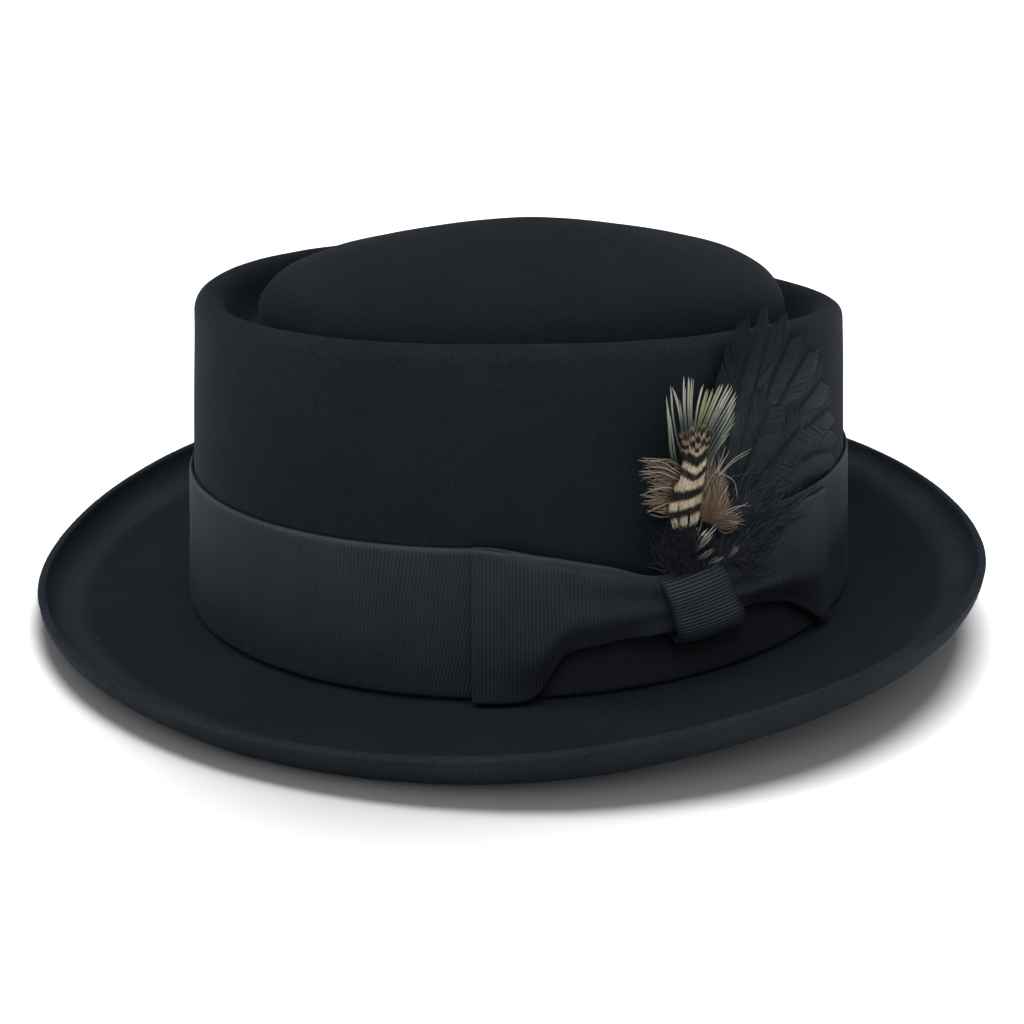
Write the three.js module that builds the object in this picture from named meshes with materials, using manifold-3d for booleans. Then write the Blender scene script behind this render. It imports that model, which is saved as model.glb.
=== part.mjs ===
// A felt porkpie hat: a crown with a gutter round its raised tip, a brim curled up all round,
// a grosgrain band with a flat bow on the wearer's left, and a feather trim tucked in above the bow.
// Millimetres, +Z up. The front of the hat faces -Y and the wearer's left is +X.
// The origin is the middle of the hat's footprint, on the surface that the hat rests on.
import * as THREE from "three";
import Module from "manifold-3d";
import { mergeVertices } from "three/addons/utils/BufferGeometryUtils.js";

const wasm = await Module();
wasm.setup();

// Felt body
const CROWN_LENGTH = 200; // front to back, outside, where the crown meets the brim
const CROWN_WIDTH = 174; // side to side, at the same place
const CROWN_HEIGHT = 89; // crest of the rim above the table, at the front
const DOME_HEIGHT = 104.5; // middle of the raised tip above the table
const DOME_EDGE_HEIGHT = 93; // shoulder of the raised tip, at the front
const END_LEAN = 1.5; // how far the front and back walls lean in by the rim
const SIDE_LEAN = 10; // how far the side walls lean in by the rim
const RIM_RADIUS = 4; // rounding of the rim's crest
const GUTTER_WIDTH = 17; // from the outside of the wall to the side of the raised tip
const GUTTER_DEPTH = 12; // below the crest of the rim
const FELT = 2.2;
const SEAT_WIDTH = 6; // flat ring round the head opening, on which the hat rests
const SEAT_PRESS = 0.2; // how much of the felt's thickness the seat has lost
const JUNCTION_RADIUS = 1; // between the wall and the brim
const BRIM_WIDTH = 45; // from the wall to the outside of the curl, at the side
const LIP_HEIGHT = 19; // raw edge of the brim above the table, at the back
const CURL_RISE = 8.3; // from the brim to the raw edge, at the side
const CURL_RADIUS = 6; // how far in from the edge the curl begins

// Ribbon
const RIBBON_WIDTH = 38;
const RIBBON_THICKNESS = 0.8;
const BOW_HALF_LENGTH = 56;
const BOW_THICKNESS = 6.2; // from the band to the outside of the knot
const BOW_FORWARD = 17; // the knot sits this far in front of the middle of the wearer's left side
const BOW_RIBBON_THICKNESS = 0.9;
const KNOT_WIDTH = 18;
const KNOT_HEIGHT = 17;
const KNOT_LEAN = 5; // the foot of the knot sits this much further back than its head
const KNOT_UP = 0.54; // middle of the knot, as a share of the ribbon's width above its lower edge

// Feather trim
const TRIM_HEIGHT = 62; // from the head of the knot to the highest feather
const TRIM_LENGTH = 80; // from the foremost to the hindmost tip, along the band
const TRIM_DEPTH = 10.5; // from the band to the outermost feather
const BLADE_WIDTH = 15; // a large black feather
const BLADE_THICKNESS = 1.6;
const TUFT_WIDTH = 7; // a lock of down
const DOWN_THICKNESS = 2.1;
const BARRED_WIDTH = 8;
const BARB_WIDTH = 3.4; // a strip of the pale spray
const VANE_THICKNESS = 1.1; // the pale and the barred feather

const GAP = 0.3; // between neighbouring pieces
const STEPS_ROUND = 56;

// Shares at the front, front quarter, side, back quarter and back of the hat.
const RIM_SHARES = [1, 1.005, 0.98, 0.92, 0.875]; // of CROWN_HEIGHT
const DOME_SHARES = [1, 1, 0.985, 0.965, 0.955]; // of DOME_EDGE_HEIGHT
const BRIM_SHARES = [0.91, 0.97, 1, 0.84, 0.74]; // of BRIM_WIDTH
const LIP_SHARES = [0.43, 0.5, 0.93, 0.93, 1]; // of LIP_HEIGHT
const CURL_SHARES = [0.65, 0.85, 1, 0.85, 0.65]; // of CURL_RISE

// The raised tip from its middle to its side: radius as a share of its oval, height as a share
// of its rise above its shoulder.
const DOME_SECTIONS = [
  { radius: 0.25, rise: 0.88 },
  { radius: 0.48, rise: 0.66 },
  { radius: 0.7, rise: 0.4 },
  { radius: 0.86, rise: 0.14 },
  { radius: 0.95, rise: -0.16 },
  { radius: 1, rise: -0.6 },
];
// The gutter from the side of the raised tip to the inside of the rim: inset from the wall as a
// share of GUTTER_WIDTH, drop below the crest as a share of GUTTER_DEPTH.
const GUTTER_SECTIONS = [
  { inset: 0.98, drop: 0.5 },
  { inset: 0.88, drop: 0.9 },
  { inset: 0.75, drop: 1 },
  { inset: 0.6, drop: 0.82 },
];
const RIM_ANGLES = [160, 120, 80, 40, 0]; // round the crest, from inside to outside
const WALL_SHARES = [0.5, 0]; // stations down the wall, as shares of its height
const BRIM_STATIONS = [0.3, 0.6, 0.85, 1]; // out from the seat to the curl
const CURL_ANGLES = [30, 60, 90];
const BRIM_SWEEP = 1.5; // how much of the brim's rise comes late

const crownHalfLength = CROWN_LENGTH / 2;
const crownHalfWidth = CROWN_WIDTH / 2;
const seatTop = FELT - SEAT_PRESS;
const wallFoot = seatTop + JUNCTION_RADIUS;
const bandFoot = wallFoot + GAP;
const bandHead = bandFoot + RIBBON_WIDTH;
const bandOutside = GAP + RIBBON_THICKNESS;

const radians = (degrees) => (degrees * Math.PI) / 180;
const mix = (a, b, share) => a + (b - a) * share;

// A smooth value round the hat, the same on the left and on the right, through five stations.
function roundTheHat(size, shares) {
  const last = shares.length - 1;
  const terms = shares.map((_, k) => {
    const sum = shares.reduce((total, share, j) => {
      const weight = j === 0 || j === last ? 0.5 : 1;
      return total + share * weight * Math.cos((Math.PI * j * k) / last);
    }, 0);
    return (sum * (k === 0 || k === last ? 1 : 2)) / last;
  });
  return (turn) =>
    size * terms.reduce((total, term, k) => total + term * Math.cos(k * turn), 0);
}
const rimHeight = roundTheHat(CROWN_HEIGHT, RIM_SHARES);
const domeEdge = roundTheHat(DOME_EDGE_HEIGHT, DOME_SHARES);
const brimReach = roundTheHat(BRIM_WIDTH, BRIM_SHARES);
const lipHeight = roundTheHat(LIP_HEIGHT, LIP_SHARES);
const curlRise = roundTheHat(CURL_RISE, CURL_SHARES);

// A point on an oval moved out along its normal. Turn is 0 at the front and grows to the left.
function onOval(turn, halfLength, halfWidth, outward) {
  const x = halfWidth * Math.sin(turn);
  const y = -halfLength * Math.cos(turn);
  const nx = halfLength * Math.sin(turn);
  const ny = -halfWidth * Math.cos(turn);
  const n = Math.hypot(nx, ny);
  return [x + (outward * nx) / n, y + (outward * ny) / n];
}

// A point at a height beside the crown's wall, moved out from it.
function besideWall(turn, z, outward) {
  const share = (z - wallFoot) / (rimHeight(turn) - RIM_RADIUS - wallFoot);
  const [x, y] = onOval(
    turn,
    crownHalfLength - END_LEAN * share,
    crownHalfWidth - SIDE_LEAN * share,
    outward,
  );
  return new THREE.Vector3(x, y, z);
}

// The felt's upper surface at one turn, from near the middle of the tip out to the raw edge.
function feltProfile(turn) {
  const points = [];
  const crest = rimHeight(turn);
  const topLength = crownHalfLength - END_LEAN;
  const topWidth = crownHalfWidth - SIDE_LEAN;
  const add = ([x, y], z) => points.push(new THREE.Vector3(x, y, z));
  for (const { radius, rise } of DOME_SECTIONS) {
    const z = mix(domeEdge(turn), DOME_HEIGHT, rise);
    const length = (topLength - GUTTER_WIDTH) * radius;
    add(onOval(turn, length, (topWidth - GUTTER_WIDTH) * radius, 0), z);
  }
  for (const { inset, drop } of GUTTER_SECTIONS) {
    add(onOval(turn, topLength, topWidth, -inset * GUTTER_WIDTH), crest - drop * GUTTER_DEPTH);
  }
  for (const angle of RIM_ANGLES) {
    const inset = RIM_RADIUS * (1 - Math.cos(radians(angle)));
    const z = crest - RIM_RADIUS * (1 - Math.sin(radians(angle)));
    add(onOval(turn, topLength, topWidth, -inset), z);
  }
  for (const share of WALL_SHARES) {
    points.push(besideWall(turn, mix(wallFoot, crest - RIM_RADIUS, share), 0));
  }
  const beside = (outward) => onOval(turn, crownHalfLength, crownHalfWidth, outward);
  const soften = JUNCTION_RADIUS * (1 - Math.SQRT1_2);
  add(beside(soften), seatTop + soften);
  add(beside(JUNCTION_RADIUS), seatTop);
  const seatEnd = JUNCTION_RADIUS + SEAT_WIDTH;
  add(beside(seatEnd), seatTop);
  const edge = brimReach(turn) - FELT;
  const curlStart = edge - CURL_RADIUS;
  const curlFoot = lipHeight(turn) - curlRise(turn);
  for (const station of BRIM_STATIONS) {
    const z = mix(seatTop, curlFoot, station ** BRIM_SWEEP);
    add(beside(mix(seatEnd, curlStart, station)), z);
  }
  for (const angle of CURL_ANGLES) {
    const outward = curlStart + CURL_RADIUS * Math.sin(radians(angle));
    add(beside(outward), curlFoot + curlRise(turn) * (1 - Math.cos(radians(angle))));
  }
  return points;
}

// Joins rings of points, each with as many points, into one closed surface. Where the list of
// rings doesn't close on itself, its two ends are closed over a middle point.
function skin(rings, { loop = false } = {}) {
  const count = rings[0].length;
  const positions = rings.flat().flatMap((p) => [p.x, p.y, p.z]);
  const index = [];
  const at = (ring, i) => (ring % rings.length) * count + (i % count);
  const joins = loop ? rings.length : rings.length - 1;
  for (let ring = 0; ring < joins; ring++) {
    for (let i = 0; i < count; i++) {
      index.push(at(ring, i), at(ring + 1, i), at(ring + 1, i + 1));
      index.push(at(ring, i), at(ring + 1, i + 1), at(ring, i + 1));
    }
  }
  if (!loop) {
    [rings[0], rings[rings.length - 1]].forEach((ring, end) => {
      const middle = ring.reduce((sum, p) => sum.add(p), new THREE.Vector3());
      middle.divideScalar(count);
      const hub = positions.length / 3;
      positions.push(middle.x, middle.y, middle.z);
      const row = end ? rings.length - 1 : 0;
      for (let i = 0; i < count; i++) {
        const pair = [at(row, i), at(row, i + 1)];
        index.push(hub, ...(end ? pair.reverse() : pair));
      }
    });
  }
  const geometry = new THREE.BufferGeometry();
  geometry.setAttribute("position", new THREE.Float32BufferAttribute(positions, 3));
  geometry.setIndex(index);
  return geometry;
}

// The felt as one shell: its upper surface, then the same surface moved in by its thickness and
// pressed flat where it would pass below the table.
function feltBody() {
  const turns = Array.from({ length: STEPS_ROUND }, (_, i) => (2 * Math.PI * i) / STEPS_ROUND);
  const profiles = turns.map(feltProfile);
  const depth = profiles[0].length;
  const upper = Array.from({ length: depth }, (_, k) => profiles.map((profile) => profile[k]));
  const lower = upper.map((ring, k) =>
    ring.map((point, i) => {
      const out = upper[Math.min(k + 1, depth - 1)][i].clone();
      out.sub(upper[Math.max(k - 1, 0)][i]);
      const round = ring[(i + 1) % STEPS_ROUND].clone();
      round.sub(ring[(i + STEPS_ROUND - 1) % STEPS_ROUND]);
      const moved = out.cross(round).normalize().multiplyScalar(-FELT).add(point);
      moved.z = Math.max(moved.z, 0);
      return moved;
    }),
  );
  return skin([...upper, ...lower.reverse()]);
}

// A closed loop of ribbon round the foot of the crown.
function hatBand() {
  const corners = [
    { z: bandFoot, outward: GAP },
    { z: bandHead, outward: GAP },
    { z: bandHead, outward: bandOutside },
    { z: bandFoot, outward: bandOutside },
  ];
  const rings = corners.map(({ z, outward }) =>
    Array.from({ length: STEPS_ROUND }, (_, i) =>
      besideWall((2 * Math.PI * i) / STEPS_ROUND, z, outward),
    ),
  );
  return skin(rings, { loop: true });
}

// Lengths along the band, from the middle of the wearer's left side toward the back.
const ARC_STEPS = 360;
const arcTable = [];
for (let i = 0, length = 0, before = null; i <= ARC_STEPS; i++) {
  const turn = (Math.PI * i) / ARC_STEPS;
  const [x, y] = onOval(turn, crownHalfLength, crownHalfWidth, bandOutside);
  if (before) length += Math.hypot(x - before[0], y - before[1]);
  before = [x, y];
  arcTable.push({ turn, length });
}
const sideLength = arcTable[ARC_STEPS / 2].length;
function turnAt(along) {
  const wanted = Math.min(Math.max(along + sideLength, 0), arcTable[ARC_STEPS].length);
  const next = Math.max(1, arcTable.findIndex(({ length }) => length >= wanted));
  const [a, b] = [arcTable[next - 1], arcTable[next]];
  return mix(a.turn, b.turn, (wanted - a.length) / (b.length - a.length));
}
// A point on the bow or trim: along the band from the knot, up from the table, out from the band.
const onBand = (along, z, off) =>
  besideWall(turnAt(along - BOW_FORWARD), z, bandOutside + off);

// A piecewise straight value read from a table by one of its columns.
function lookUp(rows, column, key, value) {
  const next = rows.findIndex((row) => row[key] >= value);
  if (next === -1) return rows[rows.length - 1][column];
  if (next === 0) return rows[0][column];
  const [a, b] = [rows[next - 1], rows[next]];
  return mix(a[column], b[column], (value - a[key]) / (b[key] - a[key]));
}

// Half of the bow is one ribbon folded into an open loop. Along is a share of the half's length
// and off a share of the bow's thickness, from the layer on the band round the fold and back.
const LOOP_PATH = [
  { along: 0.01, off: 0.34 },
  { along: 0.22, off: 0.34 },
  { along: 0.36, off: 0.13 },
  { along: 0.7, off: 0.13 },
  { along: 0.96, off: 0.13 },
  { along: 0.99, off: 0.22 },
  { along: 0.99, off: 0.36 },
  { along: 0.94, off: 0.48 },
  { along: 0.8, off: 0.7 },
  { along: 0.62, off: 0.88 },
  { along: 0.44, off: 0.9 },
  { along: 0.3, off: 0.78 },
  { along: 0.22, off: 0.68 },
  { along: 0.01, off: 0.68 },
];
// The loop's edges as shares of the ribbon's width: pinched in the knot, full at the fold.
const LOOP_EDGES = [
  { along: 0, head: 0.7, foot: 0.38 },
  { along: 0.2, head: 0.7, foot: 0.38 },
  { along: 0.45, head: 0.88, foot: 0.31 },
  { along: 0.7, head: 0.96, foot: 0.21 },
  { along: 0.86, head: 0.99, foot: 0.1 },
  { along: 1, head: 1, foot: 0.02 },
];

const LOOP_STEPS = 39;

function bowLoop(side) {
  const marks = LOOP_PATH.map(
    ({ along, off }) => new THREE.Vector2(along * BOW_HALF_LENGTH, off * BOW_THICKNESS),
  );
  const path = new THREE.SplineCurve(marks).getPoints(LOOP_STEPS).map(({ x, y }) => ({
    along: x,
    off: y,
  }));
  const rings = path.map((here, k) => {
    const before = path[Math.max(k - 1, 0)];
    const after = path[Math.min(k + 1, path.length - 1)];
    const run = [after.along - before.along, after.off - before.off];
    const size = Math.hypot(...run);
    const half = BOW_RIBBON_THICKNESS / 2;
    const share = here.along / BOW_HALF_LENGTH;
    const head = bandFoot + RIBBON_WIDTH * lookUp(LOOP_EDGES, "head", "along", share);
    const foot = bandFoot + RIBBON_WIDTH * lookUp(LOOP_EDGES, "foot", "along", share);
    const corner = (z, way) =>
      onBand(
        side * (here.along - (way * half * run[1]) / size),
        z,
        here.off + (way * half * run[0]) / size,
      );
    return [corner(foot, -1), corner(head, -1), corner(head, 1), corner(foot, 1)];
  });
  if (side > 0) rings.forEach((ring) => ring.reverse());
  return skin(rings);
}

// The short ribbon wrapped round the middle of the bow.
const KNOT_SECTION = [
  { up: -0.5, out: 0.2 },
  { up: -0.38, out: 0 },
  { up: 0.38, out: 0 },
  { up: 0.5, out: 0.2 },
  { up: 0.5, out: 0.75 },
  { up: 0.36, out: 1 },
  { up: 0, out: 1.05 },
  { up: -0.36, out: 1 },
  { up: -0.5, out: 0.75 },
];
const KNOT_COLUMNS = [-1, -0.5, 0, 0.5, 1]; // across the knot, as shares of its half width
const knotMiddle = bandFoot + KNOT_UP * RIBBON_WIDTH;
function bowKnot() {
  const depth = BOW_THICKNESS - GAP;
  const wall = BOW_RIBBON_THICKNESS;
  const rings = KNOT_SECTION.map(({ up, out }) => {
    const inner = { z: up * (KNOT_HEIGHT - 2 * wall), off: GAP + wall + out * (depth - 2 * wall) };
    const outer = { z: up * KNOT_HEIGHT, off: GAP + out * depth };
    const place = ({ z, off }, way) => {
      const shift = (-z / KNOT_HEIGHT) * KNOT_LEAN;
      return onBand((way * KNOT_WIDTH) / 2 + shift, knotMiddle + z, off);
    };
    return [
      ...KNOT_COLUMNS.map((way) => place(outer, way)),
      ...KNOT_COLUMNS.map((way) => place(inner, -way)),
    ];
  });
  return skin(rings, { loop: true });
}

// Feathers lie against the crown in the bow's own frame. Their places are shares: along of
// TRIM_LENGTH from the knot, up of TRIM_HEIGHT from the knot's head, off of TRIM_DEPTH.
const knotHead = knotMiddle + KNOT_HEIGHT / 2;
const trimPoint = ({ along, up, off }) => ({
  along: along * TRIM_LENGTH,
  z: knotHead + GAP + up * TRIM_HEIGHT,
  off: GAP + off * TRIM_DEPTH,
});

// A flat six-sided lock that swells and then tapers, bent to one side on its way.
const LOCK_STATIONS = [0, 0.2, 0.45, 0.7, 0.9, 1];
const LOCK_SWELL = [0.45, 0.85, 1, 0.92, 0.6, 0.12];
const LOCK_FLAT = 0.55; // share of the width that is flat, front and back
const LOCK_THINNEST = 0.4; // share of the thickness left at the ends
function lock({ from, to, bend = 0, width, thickness }) {
  const [a, b] = [trimPoint(from), trimPoint(to)];
  const reach = Math.hypot(b.along - a.along, b.z - a.z);
  const dir = [(b.along - a.along) / reach, (b.z - a.z) / reach];
  const rings = LOCK_STATIONS.map((share, k) => {
    const bow = bend * reach * 4 * share * (1 - share);
    const along = mix(a.along, b.along, share) - dir[1] * bow;
    const z = mix(a.z, b.z, share) + dir[0] * bow;
    const off = mix(a.off, b.off, share);
    const half = (width / 2) * LOCK_SWELL[k];
    const thin = (thickness / 2) * Math.max(LOCK_SWELL[k], LOCK_THINNEST);
    const corner = (across, out) =>
      onBand(along + dir[1] * across * half, z - dir[0] * across * half, off + out * thin);
    return [
      corner(-1, 0),
      corner(-LOCK_FLAT, -1),
      corner(LOCK_FLAT, -1),
      corner(1, 0),
      corner(LOCK_FLAT, 1),
      corner(-LOCK_FLAT, 1),
    ];
  });
  return skin(rings);
}

// Joins overlapping closed geometries into one.
function fuse(geometries) {
  const solids = geometries.map((geometry) => {
    const merged = mergeVertices(geometry, 1e-4);
    return new wasm.Manifold(
      new wasm.Mesh({
        numProp: 3,
        vertProperties: merged.attributes.position.array,
        triVerts: new Uint32Array(merged.index.array),
      }),
    );
  });
  const joined = solids.reduce((sum, solid) => sum.add(solid)).getMesh();
  const geometry = new THREE.BufferGeometry();
  const positions = new THREE.Float32BufferAttribute(joined.vertProperties, joined.numProp);
  geometry.setAttribute("position", positions);
  geometry.setIndex(new THREE.BufferAttribute(joined.triVerts, 1));
  return geometry;
}

// Each table lists the tips of one piece's locks, which spread from one root.
const BLACK_FEATHERS = {
  root: { along: 0.12, up: 0.06, off: 0.13 },
  tips: [
    { along: 0.31, up: 0.98, off: 0.24, bend: 0.04 },
    { along: 0.44, up: 0.93, off: 0.18, bend: 0.05 },
    { along: 0.57, up: 0.81, off: 0.24, bend: 0.07 },
    { along: 0.7, up: 0.66, off: 0.18, bend: 0.09 },
    { along: 0.8, up: 0.48, off: 0.22, bend: 0.13 },
    { along: 0.84, up: 0.26, off: 0.18, bend: 0.15 },
  ],
};
const BLACK_DOWN = {
  root: { along: 0.04, up: 0.03, off: 0.4 },
  tips: [
    { along: -0.2, up: 0.14, off: 0.44, bend: -0.05 },
    { along: -0.15, up: 0.2, off: 0.42, bend: -0.08 },
    { along: -0.03, up: 0.22, off: 0.44, bend: 0 },
    { along: 0.13, up: 0.3, off: 0.42, bend: 0.02 },
    { along: 0.27, up: 0.33, off: 0.44, bend: 0.05 },
    { along: 0.38, up: 0.29, off: 0.42, bend: 0.09 },
    { along: 0.44, up: 0.18, off: 0.44, bend: 0.13 },
  ],
};
const BROWN_DOWN = {
  root: { along: 0.0, up: 0.2, off: 0.7 },
  tips: [
    { along: -0.21, up: 0.48, off: 0.72, bend: 0.08 },
    { along: -0.22, up: 0.38, off: 0.7, bend: 0.06 },
    { along: -0.2, up: 0.27, off: 0.72, bend: 0.04 },
    { along: -0.1, up: 0.5, off: 0.7, bend: 0.06 },
    { along: 0.09, up: 0.48, off: 0.72, bend: -0.06 },
    { along: 0.18, up: 0.44, off: 0.7, bend: -0.05 },
    { along: 0.2, up: 0.3, off: 0.72, bend: -0.03 },
    { along: 0.16, up: 0.15, off: 0.7, bend: -0.03 },
  ],
};
const PALE_SPRAY = {
  root: { along: -0.02, up: 0.34, off: 0.5 },
  tips: [
    { along: -0.12, up: 0.73, off: 0.5, bend: 0.03 },
    { along: -0.075, up: 0.78, off: 0.5, bend: 0.02 },
    { along: -0.03, up: 0.79, off: 0.5, bend: 0.01 },
    { along: 0.015, up: 0.76, off: 0.5, bend: -0.01 },
    { along: 0.06, up: 0.75, off: 0.5, bend: -0.02 },
    { along: 0.11, up: 0.74, off: 0.5, bend: -0.03 },
  ],
};
const BARRED_FEATHER = {
  root: { along: -0.055, up: 0.2, off: 0.93 },
  tip: { along: -0.025, up: 0.62, off: 0.93 },
};
// A short thick lock ties the others together where their quills are bound.
const BINDING = { below: 0.02, above: 0.12, width: 0.9, thickness: 1.2 };
const spread = ({ root, tips }, width, thickness) => {
  const knob = lock({
    from: { ...root, up: root.up - BINDING.below },
    to: { ...root, up: root.up + BINDING.above },
    width: width * BINDING.width,
    thickness: thickness * BINDING.thickness,
  });
  const locks = tips.map(({ bend, ...to }) => lock({ from: root, to, bend, width, thickness }));
  return fuse([knob, ...locks]);
};

const felt = new THREE.MeshStandardMaterial({ color: 0x20242a, roughness: 0.92, metalness: 0 });
const ribbon = new THREE.MeshStandardMaterial({ color: 0x26272a, roughness: 0.7, metalness: 0 });
const black = new THREE.MeshStandardMaterial({ color: 0x0c0c0e, roughness: 0.6, metalness: 0 });
const brown = new THREE.MeshStandardMaterial({ color: 0x5a4a3c, roughness: 0.8, metalness: 0 });
const pale = new THREE.MeshStandardMaterial({ color: 0x9aa39a, roughness: 0.6, metalness: 0 });
const barred = new THREE.MeshStandardMaterial({ color: 0xb5a284, roughness: 0.7, metalness: 0 });

function node(name, geometry, material) {
  const mesh = new THREE.Mesh(geometry, material);
  mesh.name = name;
  return mesh;
}

const hat = new THREE.Group();
hat.add(
  node("felt_body", feltBody(), felt),
  node("hat_band", hatBand(), ribbon),
  node("bow_front_loop", bowLoop(-1), ribbon),
  node("bow_back_loop", bowLoop(1), ribbon),
  node("bow_knot", bowKnot(), ribbon),
  node("black_feathers", spread(BLACK_FEATHERS, BLADE_WIDTH, BLADE_THICKNESS), black),
  node("black_down", spread(BLACK_DOWN, TUFT_WIDTH, DOWN_THICKNESS), black),
  node("brown_down", spread(BROWN_DOWN, TUFT_WIDTH, DOWN_THICKNESS), brown),
  node("pale_spray", spread(PALE_SPRAY, BARB_WIDTH, VANE_THICKNESS), pale),
  node(
    "barred_feather",
    lock({
      from: BARRED_FEATHER.root,
      to: BARRED_FEATHER.tip,
      width: BARRED_WIDTH,
      thickness: VANE_THICKNESS,
    }),
    barred,
  ),
);
// The brim reaches further at the front than at the back, so the crown stands behind the origin.
hat.position.y = (brimReach(0) - brimReach(Math.PI)) / 2;

export default hat;
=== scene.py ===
"""A felt porkpie hat with a grosgrain band, a flat side bow and a feather trim.

Lengths in the functions are millimetres in the hat's own frame, whose middle is the crown's
middle. make_mesh turns them into metres and moves them to the frame's origin. The front of the
hat faces -Y and the wearer's left is +X.
"""
import math

import bpy
import numpy as np
from mathutils import Matrix, Vector, noise


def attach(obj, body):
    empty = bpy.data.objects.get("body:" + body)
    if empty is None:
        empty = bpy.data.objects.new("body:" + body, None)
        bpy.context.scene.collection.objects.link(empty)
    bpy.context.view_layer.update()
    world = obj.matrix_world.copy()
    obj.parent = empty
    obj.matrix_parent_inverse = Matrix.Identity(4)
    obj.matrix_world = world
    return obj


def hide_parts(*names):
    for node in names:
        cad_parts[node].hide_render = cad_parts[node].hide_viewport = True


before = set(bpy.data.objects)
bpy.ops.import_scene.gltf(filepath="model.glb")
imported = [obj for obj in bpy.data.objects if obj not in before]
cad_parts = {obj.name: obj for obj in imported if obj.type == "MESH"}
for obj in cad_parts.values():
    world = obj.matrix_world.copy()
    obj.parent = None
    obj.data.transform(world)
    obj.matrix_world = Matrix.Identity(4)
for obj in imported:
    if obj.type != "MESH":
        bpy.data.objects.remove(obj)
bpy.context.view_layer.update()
MM = 0.001

# Felt body, with the same names and values as the part's source
CROWN_LENGTH = 200
CROWN_WIDTH = 174
CROWN_HEIGHT = 89
DOME_HEIGHT = 104.5
DOME_EDGE_HEIGHT = 93
END_LEAN = 1.5
SIDE_LEAN = 10
RIM_RADIUS = 4
GUTTER_WIDTH = 17
GUTTER_DEPTH = 12
FELT = 2.2
SEAT_WIDTH = 6
SEAT_PRESS = 0.2
JUNCTION_RADIUS = 1
BRIM_WIDTH = 45
LIP_HEIGHT = 19
CURL_RISE = 8.3
CURL_RADIUS = 6
RIBBON_WIDTH = 38
RIBBON_THICKNESS = 0.8
BOW_HALF_LENGTH = 56
BOW_THICKNESS = 6.2
BOW_FORWARD = 17
KNOT_WIDTH = 18
KNOT_HEIGHT = 17
KNOT_LEAN = 5
KNOT_UP = 0.54
GAP = 0.3
BRIM_SWEEP = 1.5
RIM_SHARES = [1, 1.005, 0.98, 0.92, 0.875]
DOME_SHARES = [1, 1, 0.985, 0.965, 0.955]
BRIM_SHARES = [0.91, 0.97, 1, 0.84, 0.74]
LIP_SHARES = [0.43, 0.5, 0.93, 0.93, 1]
CURL_SHARES = [0.65, 0.85, 1, 0.85, 0.65]
DOME_SECTIONS = [(0.25, 0.88), (0.48, 0.66), (0.7, 0.4), (0.86, 0.14), (0.95, -0.16), (1, -0.6)]
GUTTER_SECTIONS = [(0.98, 0.5), (0.88, 0.9), (0.75, 1), (0.6, 0.82)]
RIM_ANGLES = [160, 120, 80, 40, 0]
WALL_SHARES = [0.5, 0]
BRIM_STATIONS = [0.3, 0.6, 0.85, 1]
CURL_ANGLES = [30, 60, 90]
DOME_MIDDLE_RISE = 0.95

half_length = CROWN_LENGTH / 2
half_width = CROWN_WIDTH / 2
seat_top = FELT - SEAT_PRESS
wall_foot = seat_top + JUNCTION_RADIUS
band_foot = wall_foot + GAP
band_outside = GAP + RIBBON_THICKNESS
knot_middle = band_foot + KNOT_UP * RIBBON_WIDTH


def mix(a, b, share):
    return a + (b - a) * share


def bump_at(value, middle, reach):
    return np.exp(-(((value - middle) / reach) ** 2))


def smooth(low, high, value):
    share = np.clip((value - low) / (high - low), 0, 1)
    return share * share * (3 - 2 * share)


def span(value, a, b, c, d):
    """1 between b and c, with soft slopes down to 0 at a and d."""
    return smooth(a, b, value) * (1 - smooth(c, d, value))


def round_the_hat(size, shares):
    """A smooth value round the hat through five stations, the same on the left and the right."""
    last = len(shares) - 1
    terms = []
    for k in range(last + 1):
        total = sum(
            share * (0.5 if j in (0, last) else 1) * math.cos(math.pi * j * k / last)
            for j, share in enumerate(shares)
        )
        terms.append(total * (1 if k in (0, last) else 2) / last)
    return lambda turn: size * sum(term * np.cos(k * turn) for k, term in enumerate(terms))


rim_height = round_the_hat(CROWN_HEIGHT, RIM_SHARES)
dome_edge = round_the_hat(DOME_EDGE_HEIGHT, DOME_SHARES)
brim_reach = round_the_hat(BRIM_WIDTH, BRIM_SHARES)
lip_height = round_the_hat(LIP_HEIGHT, LIP_SHARES)
curl_rise = round_the_hat(CURL_RISE, CURL_SHARES)
CROWN_SHIFT = float(brim_reach(0) - brim_reach(math.pi)) / 2


def on_oval(turn, length, width, outward):
    x = width * np.sin(turn)
    y = -length * np.cos(turn)
    nx = length * np.sin(turn)
    ny = -width * np.cos(turn)
    n = np.hypot(nx, ny)
    return x + outward * nx / n, y + outward * ny / n


def beside_wall(turn, z, outward):
    share = (z - wall_foot) / (rim_height(turn) - RIM_RADIUS - wall_foot)
    x, y = on_oval(turn, half_length - END_LEAN * share, half_width - SIDE_LEAN * share, outward)
    return np.stack(np.broadcast_arrays(x, y, z), axis=-1).astype(float)


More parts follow.
